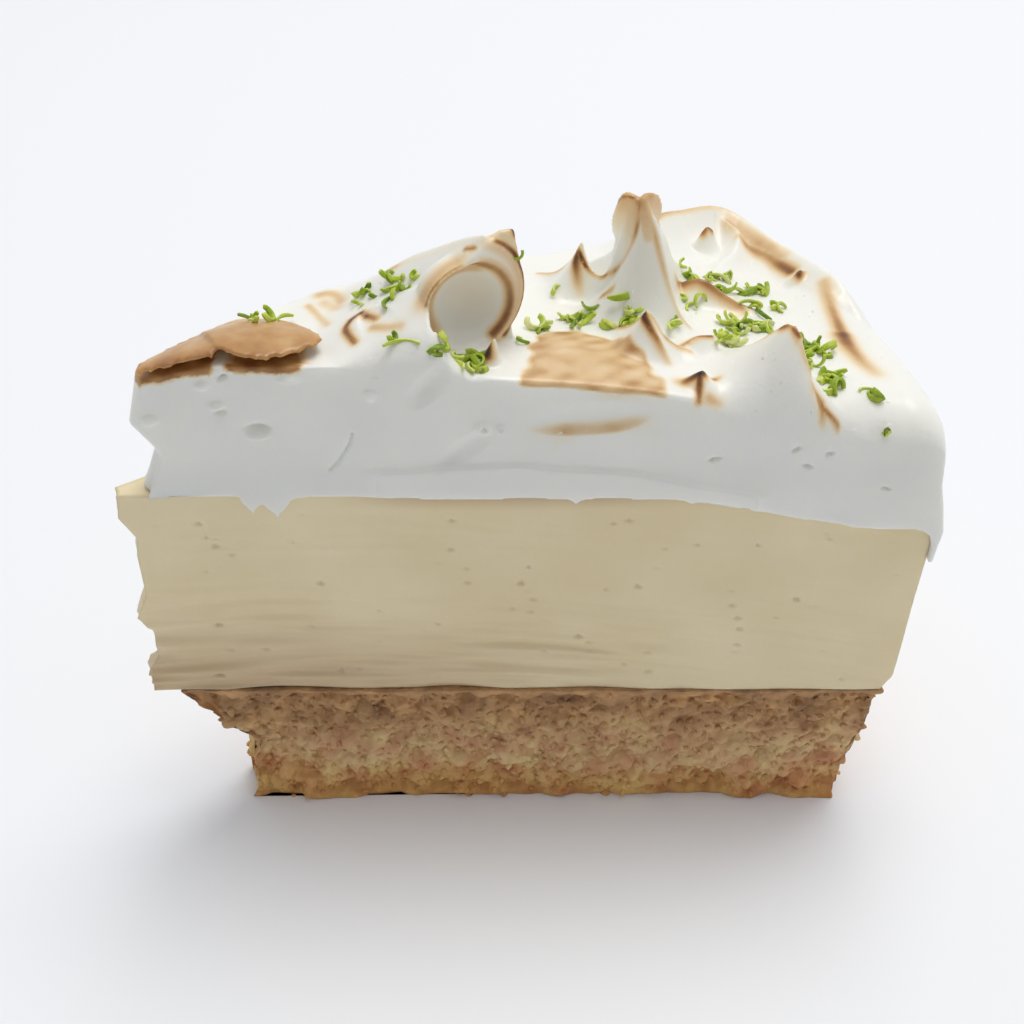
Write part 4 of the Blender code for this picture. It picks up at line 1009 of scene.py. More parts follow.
def meringue_shape(unit):
    """The whole mass with its pulled crests."""
    u, share, w = unit.T
    plain_radius = MERINGUE_START + u * (SKIRT_RIM - MERINGUE_START)
    x, y = polar(plain_radius * MERINGUE_RIM / SKIRT_RIM, share)
    shoulder = np.clip(1 - (SKIRT_RIM - plain_radius) / RIM_ROUNDING, 0, 1)
    top = meringue_top(x, y)
    top = top - RIM_ROUNDING_DROP * (1 - np.sqrt(1 - shoulder ** 2))
    rounding = along_profile(x, FRONT_ROUNDING)
    over_edge = np.clip(1 - y / rounding, 0, 1)
    top = top - rounding * (1 - np.sqrt(1 - over_edge ** 2))
    skirt = SKIRT_BOTTOM + sum(height * np.sin(share * turns) for height, turns in SKIRT_WAVES)
    on_cut = (share <= 1e-6) | (share >= 1 - 1e-6)
    lying = np.where(on_cut, meringue_bottom_edge(plain_radius), filling_top(plain_radius) + GAP)
    bottom = np.where(plain_radius > FILLING_RIM + GAP, skirt, lying)
    z = bottom + w * (top - bottom)
    start = along_profile(z, MERINGUE_TIP_PROFILE)
    radius = start + u * (along_profile(z, MERINGUE_RIM_PROFILE) - start)
    near_tip = 1 - smooth_step(radius, MERINGUE_START, 2 * MERINGUE_START)
    x, y = polar(radius + TIP_BLUNTNESS * (2 * share - 1) ** 2 * near_tip, share)
    at = np.stack([x, y, z], axis=1)
    lip = LIP_OVERHANG * (1 - smooth_step(z, FILLING_TOP - 0.001, FILLING_TOP + LIP_HEIGHT))
    x, y = push_out(x, y, share, lip + MERINGUE_RELIEF * ripple(at, SOFT_DENTS, 31))
    return np.stack([x, y, z], axis=1)


def disc(p, q):
    """A unit square's shares moved to a round section, from -1 to 1 both ways."""
    p = 2 * p - 1
    q = 2 * q - 1
    return p * np.sqrt(1 - q ** 2 / 2), q * np.sqrt(1 - p ** 2 / 2)


def hollow_shape(unit):
    """The round space under the wave's lip, with a rounded inner end."""
    inward, across, up = unit.T
    outward = WAVE_OPENING + HOLLOW_FRONT - inward * (HOLLOW_FRONT + HOLLOW_DEPTH)
    depth = np.clip((WAVE_OPENING - outward) / HOLLOW_DEPTH, 0, 1)
    flare = np.clip((outward - WAVE_OPENING) / HOLLOW_FRONT, 0, 1)
    throat = HOLLOW_RADIUS - HOLLOW_NARROWS * smooth_step(WAVE_OPENING - outward, 0, HOLLOW_THROAT)
    radius = throat * (np.sqrt(1.0001 - depth ** 2) + 0.12 * flare)
    across, up = disc(across, up)
    return wave_point(HOLLOW_CENTRE[0] + radius * across, outward, HOLLOW_CENTRE[1] + radius * up)


def lip_shape(unit):
    """The rolled lip round the wave's hollow: a broad band at the right, and only an edge at the left."""
    sweep, out, deep = unit.T
    angle = LIP_SWEEP[0] + sweep * (LIP_SWEEP[1] - LIP_SWEEP[0])
    out, deep = disc(out, deep)
    around = np.array([np.cos(angle), np.sin(angle)])
    throat = HOLLOW_RADIUS - HOLLOW_NARROWS * smooth_step(-deep, -0.8, 0.1)
    inner = np.array(HOLLOW_CENTRE)[:, None] + throat * around
    broad = np.array(LIP_CENTRE)[:, None] + LIP_RADIUS * around
    narrow = smooth_step(angle, *LIP_NARROWS)
    edge = np.array(HOLLOW_CENTRE)[:, None] + (HOLLOW_RADIUS + LIP_THIN) * around
    outer = broad * (1 - narrow) + edge * narrow
    share = 0.5 + 0.5 * out
    along, up = inner * (1 - share) + outer * share
    flare = LIP_FLARE * (1 - 1.4 * narrow) * np.clip(out, 0, 1) ** 2
    outward = WAVE_OPENING + 0.5 * LIP_DEPTH * (deep - 0.8) + flare
    return wave_point(along, outward, up)


def patch_points(rows, u, v):
    """Points of the smooth patch that three rows of three points span."""
    along = np.stack([(1 - u) ** 2, 2 * u * (1 - u), u ** 2], axis=1)
    across = np.stack([(1 - v) ** 2, 2 * v * (1 - v), v ** 2], axis=1)
    return np.einsum("nr,nc,rcd->nd", across, along, np.array(rows))


def sheet_shape(sheet, unit):
    """A sheet of even thickness over its patch, with a ragged front edge where it has one."""
    u, v, w = unit.T
    step = 0.01
    middle = patch_points(sheet.rows, u, v)
    before, after = np.clip(u - step, 0, 1), np.clip(u + step, 0, 1)
    along = patch_points(sheet.rows, after, v) - patch_points(sheet.rows, before, v)
    below, above = np.clip(v - step, 0, 1), np.clip(v + step, 0, 1)
    across = patch_points(sheet.rows, u, above) - patch_points(sheet.rows, u, below)
    normal = np.cross(along, across)
    normal /= np.linalg.norm(normal, axis=1)[:, None]
    middle = middle + normal * ((w - 0.5) * sheet.thickness)[:, None]
    torn = sheet.ragged * ripple(middle * (1, 0, 0), RAGGED_PITCH, 41, 6) * (1 - smooth_step(v, 0, 0.15))
    middle[:, 1] += torn
    return middle


meringue_parts = bmesh.new()
mass_mesh = clay_block("mass", *MERINGUE_GRID)
write_points(mass_mesh, meringue_shape(read_points(mass_mesh)))
mass = linked(mass_mesh, "mass")
hollow_mesh = clay_block("hollow", *HOLLOW_GRID)
write_points(hollow_mesh, hollow_shape(read_points(hollow_mesh)))
recalculated = bmesh.new()
recalculated.from_mesh(hollow_mesh)
bmesh.ops.recalc_face_normals(recalculated, faces=recalculated.faces)
recalculated.to_mesh(hollow_mesh)
recalculated.free()
hollow = linked(hollow_mesh, "hollow")
cut = mass.modifiers.new("hollow", "BOOLEAN")
cut.operation = "DIFFERENCE"
cut.solver = "MANIFOLD"
cut.object = hollow
cut_mesh = bpy.data.meshes.new_from_object(mass.evaluated_get(bpy.context.evaluated_depsgraph_get()))
meringue_parts.from_mesh(cut_mesh)
lip_mesh = clay_block("lip", *LIP_GRID)
write_points(lip_mesh, lip_shape(read_points(lip_mesh)))
meringue_parts.from_mesh(lip_mesh)
for name, sheet in SHEETS.items():
    sheet_mesh = clay_block(name, *SHEET_GRID)
    write_points(sheet_mesh, sheet_shape(sheet, read_points(sheet_mesh)))
    meringue_parts.from_mesh(sheet_mesh)
for made in (mass, hollow):
    bpy.data.objects.remove(made, do_unlink=True)

# The pieces overlap, and a fine remesh fuses them into one skin, which is smoothed
whole_mesh = bpy.data.meshes.new("meringue")
meringue_parts.to_mesh(whole_mesh)
meringue_parts.free()
meringue = linked(whole_mesh, "whipped_meringue")
fuse = meringue.modifiers.new("fuse", "REMESH")
fuse.mode = "VOXEL"
fuse.voxel_size = REMESH_SIZE
soften = meringue.modifiers.new("soften", "SMOOTH")
soften.factor = 0.5
soften.iterations = 2
mesh = bpy.data.meshes.new_from_object(meringue.evaluated_get(bpy.context.evaluated_depsgraph_get()))
meringue.modifiers.clear()
meringue.data = mesh

# Marks on the front cut face: place, half sizes, depth and turn. A depth below 0 is a bump
Mark = namedtuple("Mark", "x z half_width half_height depth turn", defaults=(0.0,))

FRONT_MARKS = (
    Mark(0.0236, 0.0862, 0.0024, 0.0010, 0.0009, 0.06),
    Mark(0.0236, 0.0848, 0.0022, 0.0006, -0.0004, 0.04),
    Mark(0.0569, 0.0862, 0.0016, 0.0015, -0.0007),
    Mark(0.0569, 0.0862, 0.0008, 0.0007, 0.0009),
    Mark(0.0594, 0.0860, 0.0009, 0.0010, -0.0005),
    Mark(0.0594, 0.0860, 0.0004, 0.0005, 0.0005),
    Mark(0.0406, 0.0919, 0.0013, 0.0011, -0.0006),
    Mark(0.0166, 0.0936, 0.0014, 0.0009, -0.0005, 0.3),
    Mark(0.0182, 0.0901, 0.0016, 0.0008, -0.0006, 0.2),
    Mark(0.0186, 0.0890, 0.0014, 0.0006, 0.0005, 0.2),
    Mark(0.0198, 0.0951, 0.0012, 0.0005, 0.0007, 0.5),
    Mark(0.0294, 0.0948, 0.0022, 0.0007, -0.0005, 0.05),
    Mark(0.0082, 0.0878, 0.0016, 0.0010, -0.0007, 0.3),
    Mark(0.0914, 0.0806, 0.0013, 0.0004, 0.0006, 0.2),
    Mark(0.1033, 0.0826, 0.0009, 0.0004, 0.0006, 0.5),
    Mark(0.1053, 0.0796, 0.0012, 0.0004, 0.0005, -0.3),
    Mark(0.1084, 0.0819, 0.0008, 0.0004, 0.0006, 0.3),
    Mark(0.1178, 0.0754, 0.0010, 0.0004, 0.0005, -0.2),
    Mark(0.0490, 0.0935, 0.0050, 0.0022, 0.0006, 0.9),
    Mark(0.0540, 0.0825, 0.0070, 0.0020, 0.0004, 0.7),
    Mark(0.0720, 0.0880, 0.0100, 0.0030, 0.0003, 0.1),
)
MARK_STRENGTH = 1.5
CREASE = ((0.0374, 0.0852), (0.0370, 0.0836), (0.0362, 0.0822), (0.0350, 0.0802), (0.0336, 0.0787))
CREASE_DEPTH = 0.0006
CREASE_WIDTH = 0.0006
FILM = ((0.040, 0.0787), (0.062, 0.0800), (0.080, 0.0785), (0.101, 0.0743))
FILM_STARTS = (0.036, 0.043)
FILM_ENDS = (0.097, 0.1015)
FILM_EDGE = (-0.0008, 0.0004)
FILM_BULGE = 0.0005
FRONT_FACING = (0.45, 0.8)
FRONT_REACH = 0.004


def distance_to(path, points):
    """Distance of points to a path, and how far along it the nearest place is, from 0 to 1."""
    nearest = np.full(len(points), 1.0)
    share = np.zeros(len(points))
    for step in range(len(path) - 1):
        start, end = path[step], path[step + 1]
        length = max(((end - start) ** 2).sum(), 1e-14)
        t = np.clip((points - start) @ (end - start) / length, 0, 1)
        away = np.linalg.norm(points - start - t[:, None] * (end - start), axis=1)
        closer = away < nearest
        nearest = np.where(closer, away, nearest)
        share = np.where(closer, (step + t) / (len(path) - 1), share)
    return nearest, share


def front_depth(x, z):
    """How far the marks, the crease and the wet film move the front cut face inwards."""
    total = np.zeros(len(x))
    for mark in FRONT_MARKS:
        along = (x - mark.x) * math.cos(mark.turn) + (z - mark.z) * math.sin(mark.turn)
        across = (z - mark.z) * math.cos(mark.turn) - (x - mark.x) * math.sin(mark.turn)
        out = (along / mark.half_width) ** 2 + (across / mark.half_height) ** 2
        total += MARK_STRENGTH * mark.depth * np.clip(1 - out, 0, 1) ** 1.5
    away, _ = distance_to(smooth_path(CREASE, 10), np.stack([x, z], axis=1))
    total += CREASE_DEPTH * np.clip(1 - away / CREASE_WIDTH, 0, 1) ** 2
    return total


def in_film(x, z):
    """Where the front is wet: a glossy film along its lower edge."""
    top = along_profile(x, FILM)
    inside = smooth_step(x, *FILM_STARTS) * (1 - smooth_step(x, *FILM_ENDS))
    return inside * (1 - smooth_step(z, *(top + edge for edge in FILM_EDGE)))


def front_share(points, normals):
    """1 on the front cut face and 0 off it, with a soft edge."""
    return smooth_step(-normals[:, 1], *FRONT_FACING) * (points[:, 1] < FRONT_REACH)


marked = read_points(mesh)
on_front = front_share(marked, read_normals(mesh))
film = FILM_BULGE * in_film(marked[:, 0], marked[:, 2])
marked[:, 1] += on_front * (front_depth(marked[:, 0], marked[:, 2]) - film)
write_points(mesh, marked)

# The skin is thinned out, and the flat parts of its top then get points enough for the fine toast marks
thin_out = meringue.modifiers.new("thin_out", "DECIMATE")
thin_out.ratio = min(1, MERINGUE_TRIANGLES / (2 * len(mesh.polygons)))
mesh = bpy.data.meshes.new_from_object(meringue.evaluated_get(bpy.context.evaluated_depsgraph_get()))
meringue.modifiers.clear()
meringue.data = mesh


def on_top(vert):
    return vert.co.z > ALL_TOP_ABOVE or (vert.normal.z > 0.1 and vert.co.z > LOWEST_TOP)


refined = bmesh.new()
refined.from_mesh(mesh)
for longest in (4 * LONGEST_TOP_EDGE, 2 * LONGEST_TOP_EDGE, LONGEST_TOP_EDGE):
    long_edges = [
        edge for edge in refined.edges
        if edge.calc_length() > longest and all(on_top(vert) for vert in edge.verts)
    ]
    bmesh.ops.subdivide_edges(refined, edges=long_edges, cuts=1)
    bmesh.ops.triangulate(refined, faces=[face for face in refined.faces if len(face.verts) > 3])
refined.to_mesh(mesh)
refined.free()
final = read_points(mesh)
normals = read_normals(mesh)
on_front = front_share(final, normals)
wet = in_film(final[:, 0], final[:, 2]) * on_front
cut_face = on_front * (1 - wet)

# Toast strokes besides those along the crests, and one stroke of painted shade: a path, its strength at start
# and end, and its reach.
# A patch is toasted all over inside its outline, and a band fades out over its softness
Stroke = namedtuple("Stroke", "path start end reach")

lip_angles = np.linspace(math.radians(208), math.radians(75), 9)
lip_right = np.linspace(math.radians(75), math.radians(-55), 8)
outer_angles = np.linspace(math.radians(80), math.radians(-50), 9)


def ring_path(centre, radius, angles, outward):
    return wave_point(centre[0] + radius * np.cos(angles), np.full(len(angles), outward),
                      centre[1] + radius * np.sin(angles))


STROKES = (
    # The wave's inner roll, darkest at the right, and the thin line along its outer edge
    Stroke(ring_path(HOLLOW_CENTRE, HOLLOW_RADIUS, lip_angles, WAVE_OPENING - 0.0010), 0.52, 0.48, 0.0016),
    Stroke(ring_path(HOLLOW_CENTRE, HOLLOW_RADIUS + 0.0005, lip_angles, WAVE_OPENING), 0.60, 0.70, 0.0004),
    Stroke(ring_path(HOLLOW_CENTRE, HOLLOW_RADIUS + 0.0003, lip_right, WAVE_OPENING), 0.60, 0.78, 0.0009),
    Stroke(ring_path(HOLLOW_CENTRE, HOLLOW_RADIUS + 0.0012, lip_right, WAVE_OPENING), 0.30, 0.42, 0.0008),
    Stroke(ring_path(LIP_CENTRE, LIP_RADIUS - 0.0010, outer_angles, WAVE_OPENING + 0.0004),
           0.30, 0.34, 0.0010),
    Stroke(ring_path(LIP_CENTRE, LIP_RADIUS - 0.0002, outer_angles, WAVE_OPENING + 0.0001),
           0.80, 0.95, 0.0006),
    # Painted shade: the warm beige of shadow and of light scattered through the foam, on the hollow's back
    # wall
    Stroke(ring_path(HOLLOW_CENTRE, 0.0015, lip_right, WAVE_OPENING - HOLLOW_DEPTH), 0.09, 0.09, 0.0035),
    # Fold behind the wave: its top, its black tip and its right edge
    Stroke(((0.0587, 0.0115, 0.1118), (0.0600, 0.0121, 0.1122), (0.0610, 0.0122, 0.1120)),
           0.30, 0.60, 0.0004),
    Stroke(((0.0613, 0.0122, 0.1119), (0.0614, 0.0122, 0.1112)), 1.3, 1.0, 0.0006),
    Stroke(((0.0615, 0.0122, 0.1106), (0.0618, 0.0122, 0.1090), (0.0622, 0.0122, 0.1070)),
           0.55, 0.50, 0.0004),
    # Tall peak's outline: its left blade and its right loop
    Stroke(((0.0795, 0.0250, 0.1109), (0.0778, 0.0256, 0.1107), (0.0771, 0.0276, 0.1089),
            (0.0767, 0.0297, 0.1066), (0.0769, 0.0312, 0.1040)), 0.62, 0.50, 0.0005),
    Stroke(((0.0803, 0.0248, 0.1108), (0.0816, 0.0266, 0.1108), (0.0831, 0.0286, 0.1094),
            (0.0838, 0.0295, 0.1070), (0.0832, 0.0290, 0.1046)), 0.55, 0.70, 0.0005),
    # Tick on the wave's top
    Stroke(((0.0543, 0.0103, 0.1100), (0.0549, 0.0100, 0.1102), (0.0557, 0.0096, 0.1105)),
           0.62, 0.56, 0.0005),
    # Sheet's rough red-brown top
    Stroke(((0.0998, 0.0078, 0.0990), (0.1010, 0.0066, 0.1000), (0.1021, 0.0050, 0.0992)), 0.80, 0.9, 0.0008),
    # Beneath the small front thorn
    Stroke(((0.0895, 0.0012, 0.0908), (0.0910, 0.0008, 0.0905)), 0.45, 0.35, 0.0010),
    # Scorched ends of the thorns
    Stroke(((0.0710, 0.0304, 0.1012), (0.0710, 0.0304, 0.1002)), 1.6, 1.1, 0.0008),
    Stroke(((0.0800, 0.0119, 0.0994), (0.0800, 0.0119, 0.0985)), 1.5, 1.1, 0.0008),
    Stroke(((0.0883, 0.0036, 0.0940), (0.0883, 0.0036, 0.0932)), 1.5, 1.1, 0.0007),
    Stroke(((0.0964, 0.0578, 0.0906), (0.0968, 0.0580, 0.0902)), 1.2, 0.9, 0.0007),
)
# Strokes seen from above, whatever the height of the meringue there
TOP_STROKES = (
    # Behind the second skin, and the mottled tan streaks further back
    Stroke(((0.0300, 0.0174), (0.0314, 0.0153), (0.0327, 0.0131), (0.0336, 0.0114)), 0.36, 0.30, 0.0007),
    Stroke(((0.0314, 0.0204), (0.0327, 0.0206), (0.0341, 0.0198), (0.0349, 0.0180)), 0.42, 0.34, 0.0012),
    Stroke(((0.0325, 0.0180), (0.0346, 0.0163)), 0.28, 0.24, 0.0013),
    # The small fold's brown edge and the smear to its right
    Stroke(((0.0384, 0.0044), (0.0374, 0.0062), (0.0368, 0.0080), (0.0375, 0.0096)), 0.60, 0.85, 0.0007),
    Stroke(((0.0375, 0.0096), (0.0387, 0.0100), (0.0400, 0.0092), (0.0413, 0.0078)), 0.90, 0.60, 0.0008),
    Stroke(((0.0410, 0.0062), (0.0432, 0.0050), (0.0452, 0.0044)), 0.44, 0.30, 0.0008),
    # Broad mottled band along the back, darker along its inner side
    Stroke(((0.1018, 0.0640), (0.1042, 0.0598), (0.1066, 0.0555), (0.1084, 0.0510)), 0.38, 0.48, 0.0019),
    Stroke(((0.1030, 0.0580), (0.1051, 0.0552), (0.1075, 0.0512), (0.1088, 0.0484), (0.1098, 0.0460)),
           0.48, 0.78, 0.0013),
    Stroke(((0.1104, 0.0424), (0.1110, 0.0434)), 0.85, 0.80, 0.0009),
    # Streak along the rim, with a blot at its end
    Stroke(((0.1140, 0.0390), (0.1139, 0.0342), (0.1137, 0.0291), (0.1138, 0.0236)), 0.36, 0.66, 0.0013),
    Stroke(((0.1138, 0.0225), (0.1141, 0.0198), (0.1149, 0.0166), (0.1166, 0.0124)), 0.80, 0.34, 0.0017),
    # Down the leaning sheet's right edge
    Stroke(((0.1022, 0.0050), (0.1031, 0.0036), (0.1045, 0.0025), (0.1062, 0.0016)), 0.25, 0.62, 0.0006),
    Stroke(((0.1050, 0.0018), (0.1062, 0.0010)), 0.60, 0.56, 0.0009),
    Stroke(((0.1062, 0.0014), (0.1088, 0.0004)), 0.70, 0.50, 0.0004),
    # Short dark fold left of the tall peak's foot
    Stroke(((0.0752, 0.0243), (0.0766, 0.0232)), 0.6, 0.4, 0.0005),
)
# Browned hollows under the two tip skins, seen from the front: outlines in x and z
UNDERCUTS = (
    ((0.0066, 0.0934), (0.0100, 0.0942), (0.0140, 0.0951), (0.0182, 0.0957), (0.0187, 0.0976),
     (0.0140, 0.0970), (0.0095, 0.0960), (0.0066, 0.0952)),
    ((0.0206, 0.0959), (0.0250, 0.0958), (0.0306, 0.0959), (0.0316, 0.0980), (0.0200, 0.0980)),
)
UNDERCUT_TOAST = 0.60
UNDERCUT_RAGGED = 0.00015
UNDERCUT_EDGE = (-0.0003, 0.0002)
UNDERCUT_REACH = 0.006
# The sheets are toasted within their fade, by their distance from points spread over them
SHEET_COLUMNS = 40
SHEET_ROWS = 30
SHEET_MARGIN = 0.002
SHEET_TOAST_FADE = (0.0007, 0.0013)
BIG_PATCH = (
    (0.0645, 0.0133), (0.0641, 0.0084), (0.0626, 0.0023), (0.0620, -0.0020), (0.0831, -0.0020),
    (0.0818, 0.0063), (0.0785, 0.0115), (0.0752, 0.0140), (0.0722, 0.0156), (0.0683, 0.0152),
)
PATCH_TOAST = 0.42
PATCH_SOFTNESS = 0.0006
PATCH_NOISE = 0.0005
PATCH_FOLDS = 0.14
PATCH_RIM = 0.20
PATCH_RIM_REACH = 0.0012


def inside_outline(outline, x, y):
    """Signed distance to a closed outline in plan, above 0 inside it."""
    corners = np.array(outline)
    closed = np.vstack([corners, corners[:1]])
    away, _ = distance_to(closed, np.stack([x, y], axis=1))
    crossings = np.zeros(len(x), dtype=int)
    for (ax, ay), (bx, by) in zip(closed[:-1], closed[1:]):
        spans = (ay > y) != (by > y)
        crossings += spans & (x < (bx - ax) * (y - ay) / (by - ay + 1e-15) + ax)
    return np.where(crossings % 2 == 1, away, -away)


def stroke_darkening(path, start, end, reach_left, reach_right, points):
    """Toast, and for one stroke painted shade, that a stroke gives to points, most on its path and fading
    over its reach.
    """
    reach = max(reach_left, reach_right)
    low, high = path.min(axis=0) - 3 * reach, path.max(axis=0) + 3 * reach
    near = np.nonzero(np.all((points > low) & (points < high), axis=1))[0]
    toast = np.zeros(len(points))
    if len(near) == 0:
        return toast
    away, share = distance_to(path, points[near])
    toast[near] = (start + (end - start) * share) * np.exp(-(away / reach) ** 2)
    return toast


toast = np.zeros(len(final))
for crest in (*CRESTS, MOUND):
    if crest.toast is not None:
        start, end, left, right = crest.toast
        path = smooth_path(crest.path, CREST_STEPS)
        toast = np.maximum(toast, stroke_darkening(path, start, end, left, right, final))
for stroke in STROKES:
    path = smooth_path(stroke.path, 12)
    toast = np.maximum(toast, stroke_darkening(path, stroke.start, stroke.end, stroke.reach, stroke.reach, final))
for outline in UNDERCUTS:
    inside = inside_outline(outline, final[:, 0], final[:, 2]) + UNDERCUT_RAGGED * ripple(final, 0.0025, 52)
    browned_hollow = UNDERCUT_TOAST * smooth_step(inside, *UNDERCUT_EDGE) * (final[:, 1] < UNDERCUT_REACH)
    toast = np.maximum(toast, browned_hollow * (1 + 0.08 * ripple(final, 0.0022, 53)))
top_side = smooth_step(normals[:, 2], 0.0, 0.3) * (final[:, 2] > LOWEST_TOP)
for stroke in TOP_STROKES:
    path = smooth_path(stroke.path, 12)
    from_above = stroke_darkening(path, stroke.start, stroke.end, stroke.reach, stroke.reach, final[:, :2])
    toast = np.maximum(toast, from_above * top_side)
into_patch = inside_outline(BIG_PATCH, final[:, 0], final[:, 1]) + PATCH_NOISE * ripple(final, 0.004, 51)
patch_rim = PATCH_RIM * np.exp(-np.abs(into_patch) / PATCH_RIM_REACH)
patch_toast = PATCH_TOAST * (1 + PATCH_FOLDS * ripple(final, 0.0035, 54) + patch_rim)
toast = np.maximum(toast, patch_toast * smooth_step(into_patch, -PATCH_SOFTNESS, PATCH_SOFTNESS) * top_side)
for sheet in SHEETS.values():
    sheet_u, sheet_v = np.meshgrid(np.linspace(0, 1, SHEET_COLUMNS), np.linspace(0, 1, SHEET_ROWS))
    on_sheet = patch_points(sheet.rows, sheet_u.ravel(), sheet_v.ravel())
    low, high = on_sheet.min(axis=0) - SHEET_MARGIN, on_sheet.max(axis=0) + SHEET_MARGIN
    near = np.nonzero(np.all((final > low) & (final < high), axis=1))[0]
    if len(near) == 0:
        continue
    gap = np.full(len(near), 1.0)
    shade = np.zeros(len(near))
    for row in range(0, len(on_sheet), SHEET_COLUMNS):
        away = final[near][:, None] - on_sheet[None, row:row + SHEET_COLUMNS]
        to_row = np.linalg.norm(away, axis=2).min(axis=1)
        row_toast = sheet.toast[0] + (sheet.toast[1] - sheet.toast[0]) * sheet_v.ravel()[row]
        shade = np.where(to_row < gap, row_toast, shade)
        gap = np.minimum(gap, to_row)
    toast[near] = np.maximum(toast[near], shade * (1 - smooth_step(gap, *SHEET_TOAST_FADE)))
write_values(mesh, "toast", toast)
write_values(mesh, "wet", wet)
write_values(mesh, "cut", cut_face)
write_points(mesh, in_part_frame(final))
mesh.shade_smooth()

# Baked meringue is a fine glossy foam: light goes a few millimetres in, and a flame turns its skin from
# cream through tan to nearly black. The cut face shows the foam's pores, and is wet along its foot.
TOAST_MOTTLE = 0.0045
FOAM_PORE = 0.0007
SKIN_RIPPLE = 0.004
# The toast's strength varies from its least upwards, by up to its swing
TOAST_LEAST = 0.7
TOAST_SWING = 0.6
PORE_SHARE = 0.7
SKIN_ROUGHNESS = 0.34
CUT_ADDS_ROUGHNESS = 0.22
WET_ADDS_ROUGHNESS = -0.2
MERINGUE_BUMP = (0.25, 0.0004)
MERINGUE_SUBSURFACE = (0.5, (1.0, 0.9, 0.75), 0.0026)

meringue_material, tree, shader = new_material("toasted_meringue", "#f1eee2", 0.38)
where = node(tree, "ShaderNodeTexCoord", {})
cut_share = attribute(tree, "cut")
swing = multiply_add(tree, noise(tree, where, TOAST_MOTTLE, 6.0), TOAST_SWING, TOAST_LEAST)
darkness = node(tree, "ShaderNodeMath", {0: attribute(tree, "toast"), 1: swing}, operation="MULTIPLY")
# The toast ramp also colours the painted shade on the hollow's back wall
toast_and_shade_colour = ramp(
    tree,
    darkness.outputs["Value"],
    (
        (0.0, "#f1f0e8"), (1.0, "#291e19"), (0.1, "#f0e8d5"), (0.25, "#e9d3ae"), (0.42, "#dab989"),
        (0.56, "#bb8e57"), (0.68, "#96663a"), (0.82, "#5f3f27"),
    ),
)
tree.links.new(toast_and_shade_colour, shader.inputs["Base Color"])
foam = noise(tree, where, FOAM_PORE, 3.0)
pore_depth = node(tree, "ShaderNodeMath", {0: foam, 1: cut_share}, operation="MULTIPLY")
skin = noise(tree, where, SKIN_RIPPLE, 3.0)
relief = multiply_add(tree, pore_depth.outputs["Value"], PORE_SHARE, skin)
set_bump(tree, shader, relief, *MERINGUE_BUMP)
duller = multiply_add(tree, cut_share, CUT_ADDS_ROUGHNESS, SKIN_ROUGHNESS)
glossy = multiply_add(tree, attribute(tree, "wet"), WET_ADDS_ROUGHNESS, duller)
tree.links.new(glossy, shader.inputs["Roughness"])
set_subsurface(shader, *MERINGUE_SUBSURFACE)
mesh.materials.clear()
mesh.materials.append(meringue_material)
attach(meringue, "root")
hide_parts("meringue")


# Lime zest
# Thin shreds of lime peel from a fine grater, bright and dark green on one side and pale on the other.
# They curl as they dry and lie in small loose tufts on the meringue.
ZEST_TUFTS = (
    (0.0252, 0.0120, 0.0030, 6),
    (0.0400, 0.0150, 0.0030, 6),
    (0.0440, 0.0130, 0.0028, 6),
    (0.0450, 0.0030, 0.0010, 2),
    (0.0500, 0.0025, 0.0018, 4),
    (0.0546, 0.0040, 0.0022, 8),
    (0.0622, 0.0108, 0.0010, 2),
    (0.0650, 0.0160, 0.0010, 3),
    (0.0674, 0.0285, 0.0006, 1),
    (0.0712, 0.0210, 0.0026, 7),
    (0.0800, 0.0200, 0.0026, 8),
    (0.0756, 0.0186, 0.0010, 2),
    (0.0868, 0.0185, 0.0014, 2),
    (0.0963, 0.0439, 0.0026, 5),
    (0.0909, 0.0404, 0.0016, 4),
    (0.0970, 0.0360, 0.0020, 4),
    (0.1015, 0.0376, 0.0018, 4),
    (0.1042, 0.0391, 0.0010, 2),
    (0.1048, 0.0321, 0.0008, 2),
    (0.0902, 0.0300, 0.0014, 3),
    (0.1002, 0.0294, 0.0016, 3),
    (0.0974, 0.0229, 0.0026, 8),
    (0.0999, 0.0237, 0.0018, 5),
    (0.0955, 0.0177, 0.0022, 6),
    (0.0931, 0.0169, 0.0012, 3),
    (0.1022, 0.0237, 0.0010, 2),
    (0.1071, 0.0191, 0.0022, 7),
    (0.1092, 0.0160, 0.0022, 6),
    (0.1060, 0.0125, 0.0020, 7),
    (0.1076, 0.0096, 0.0020, 6),
    (0.1099, 0.0072, 0.0016, 5),
    (0.1080, 0.0043, 0.0005, 1),
    (0.1152, 0.0062, 0.0014, 3),
    (0.1163, 0.0010, 0.0004, 1),
)
ZEST_LENGTH = (0.0028, 0.0060)
ZEST_WIDTH = (0.0005, 0.0012)
ZEST_THICKNESS = 0.00035
ZEST_CURL = (1.6, 5.0)
ZEST_LEAN = (0.0, 1.3)
ZEST_TWIST = 1.2
ZEST_SUNK = 0.0002
ZEST_SEED = 7
SHRED_GRID = (16, 3, 1)
FRONT_MARGIN = 0.0004

surface_tree = BVHTree.FromPolygons(final.tolist(), [tuple(face.vertices) for face in mesh.polygons])


def ground_height(x, y):
    """What a shred lies on, found by looking straight down."""
    hit, _, _, _ = surface_tree.ray_cast(Vector((x, y, 0.2)), Vector((0, 0, -1)))
    return PLATEAU_HEIGHT if hit is None else hit.z


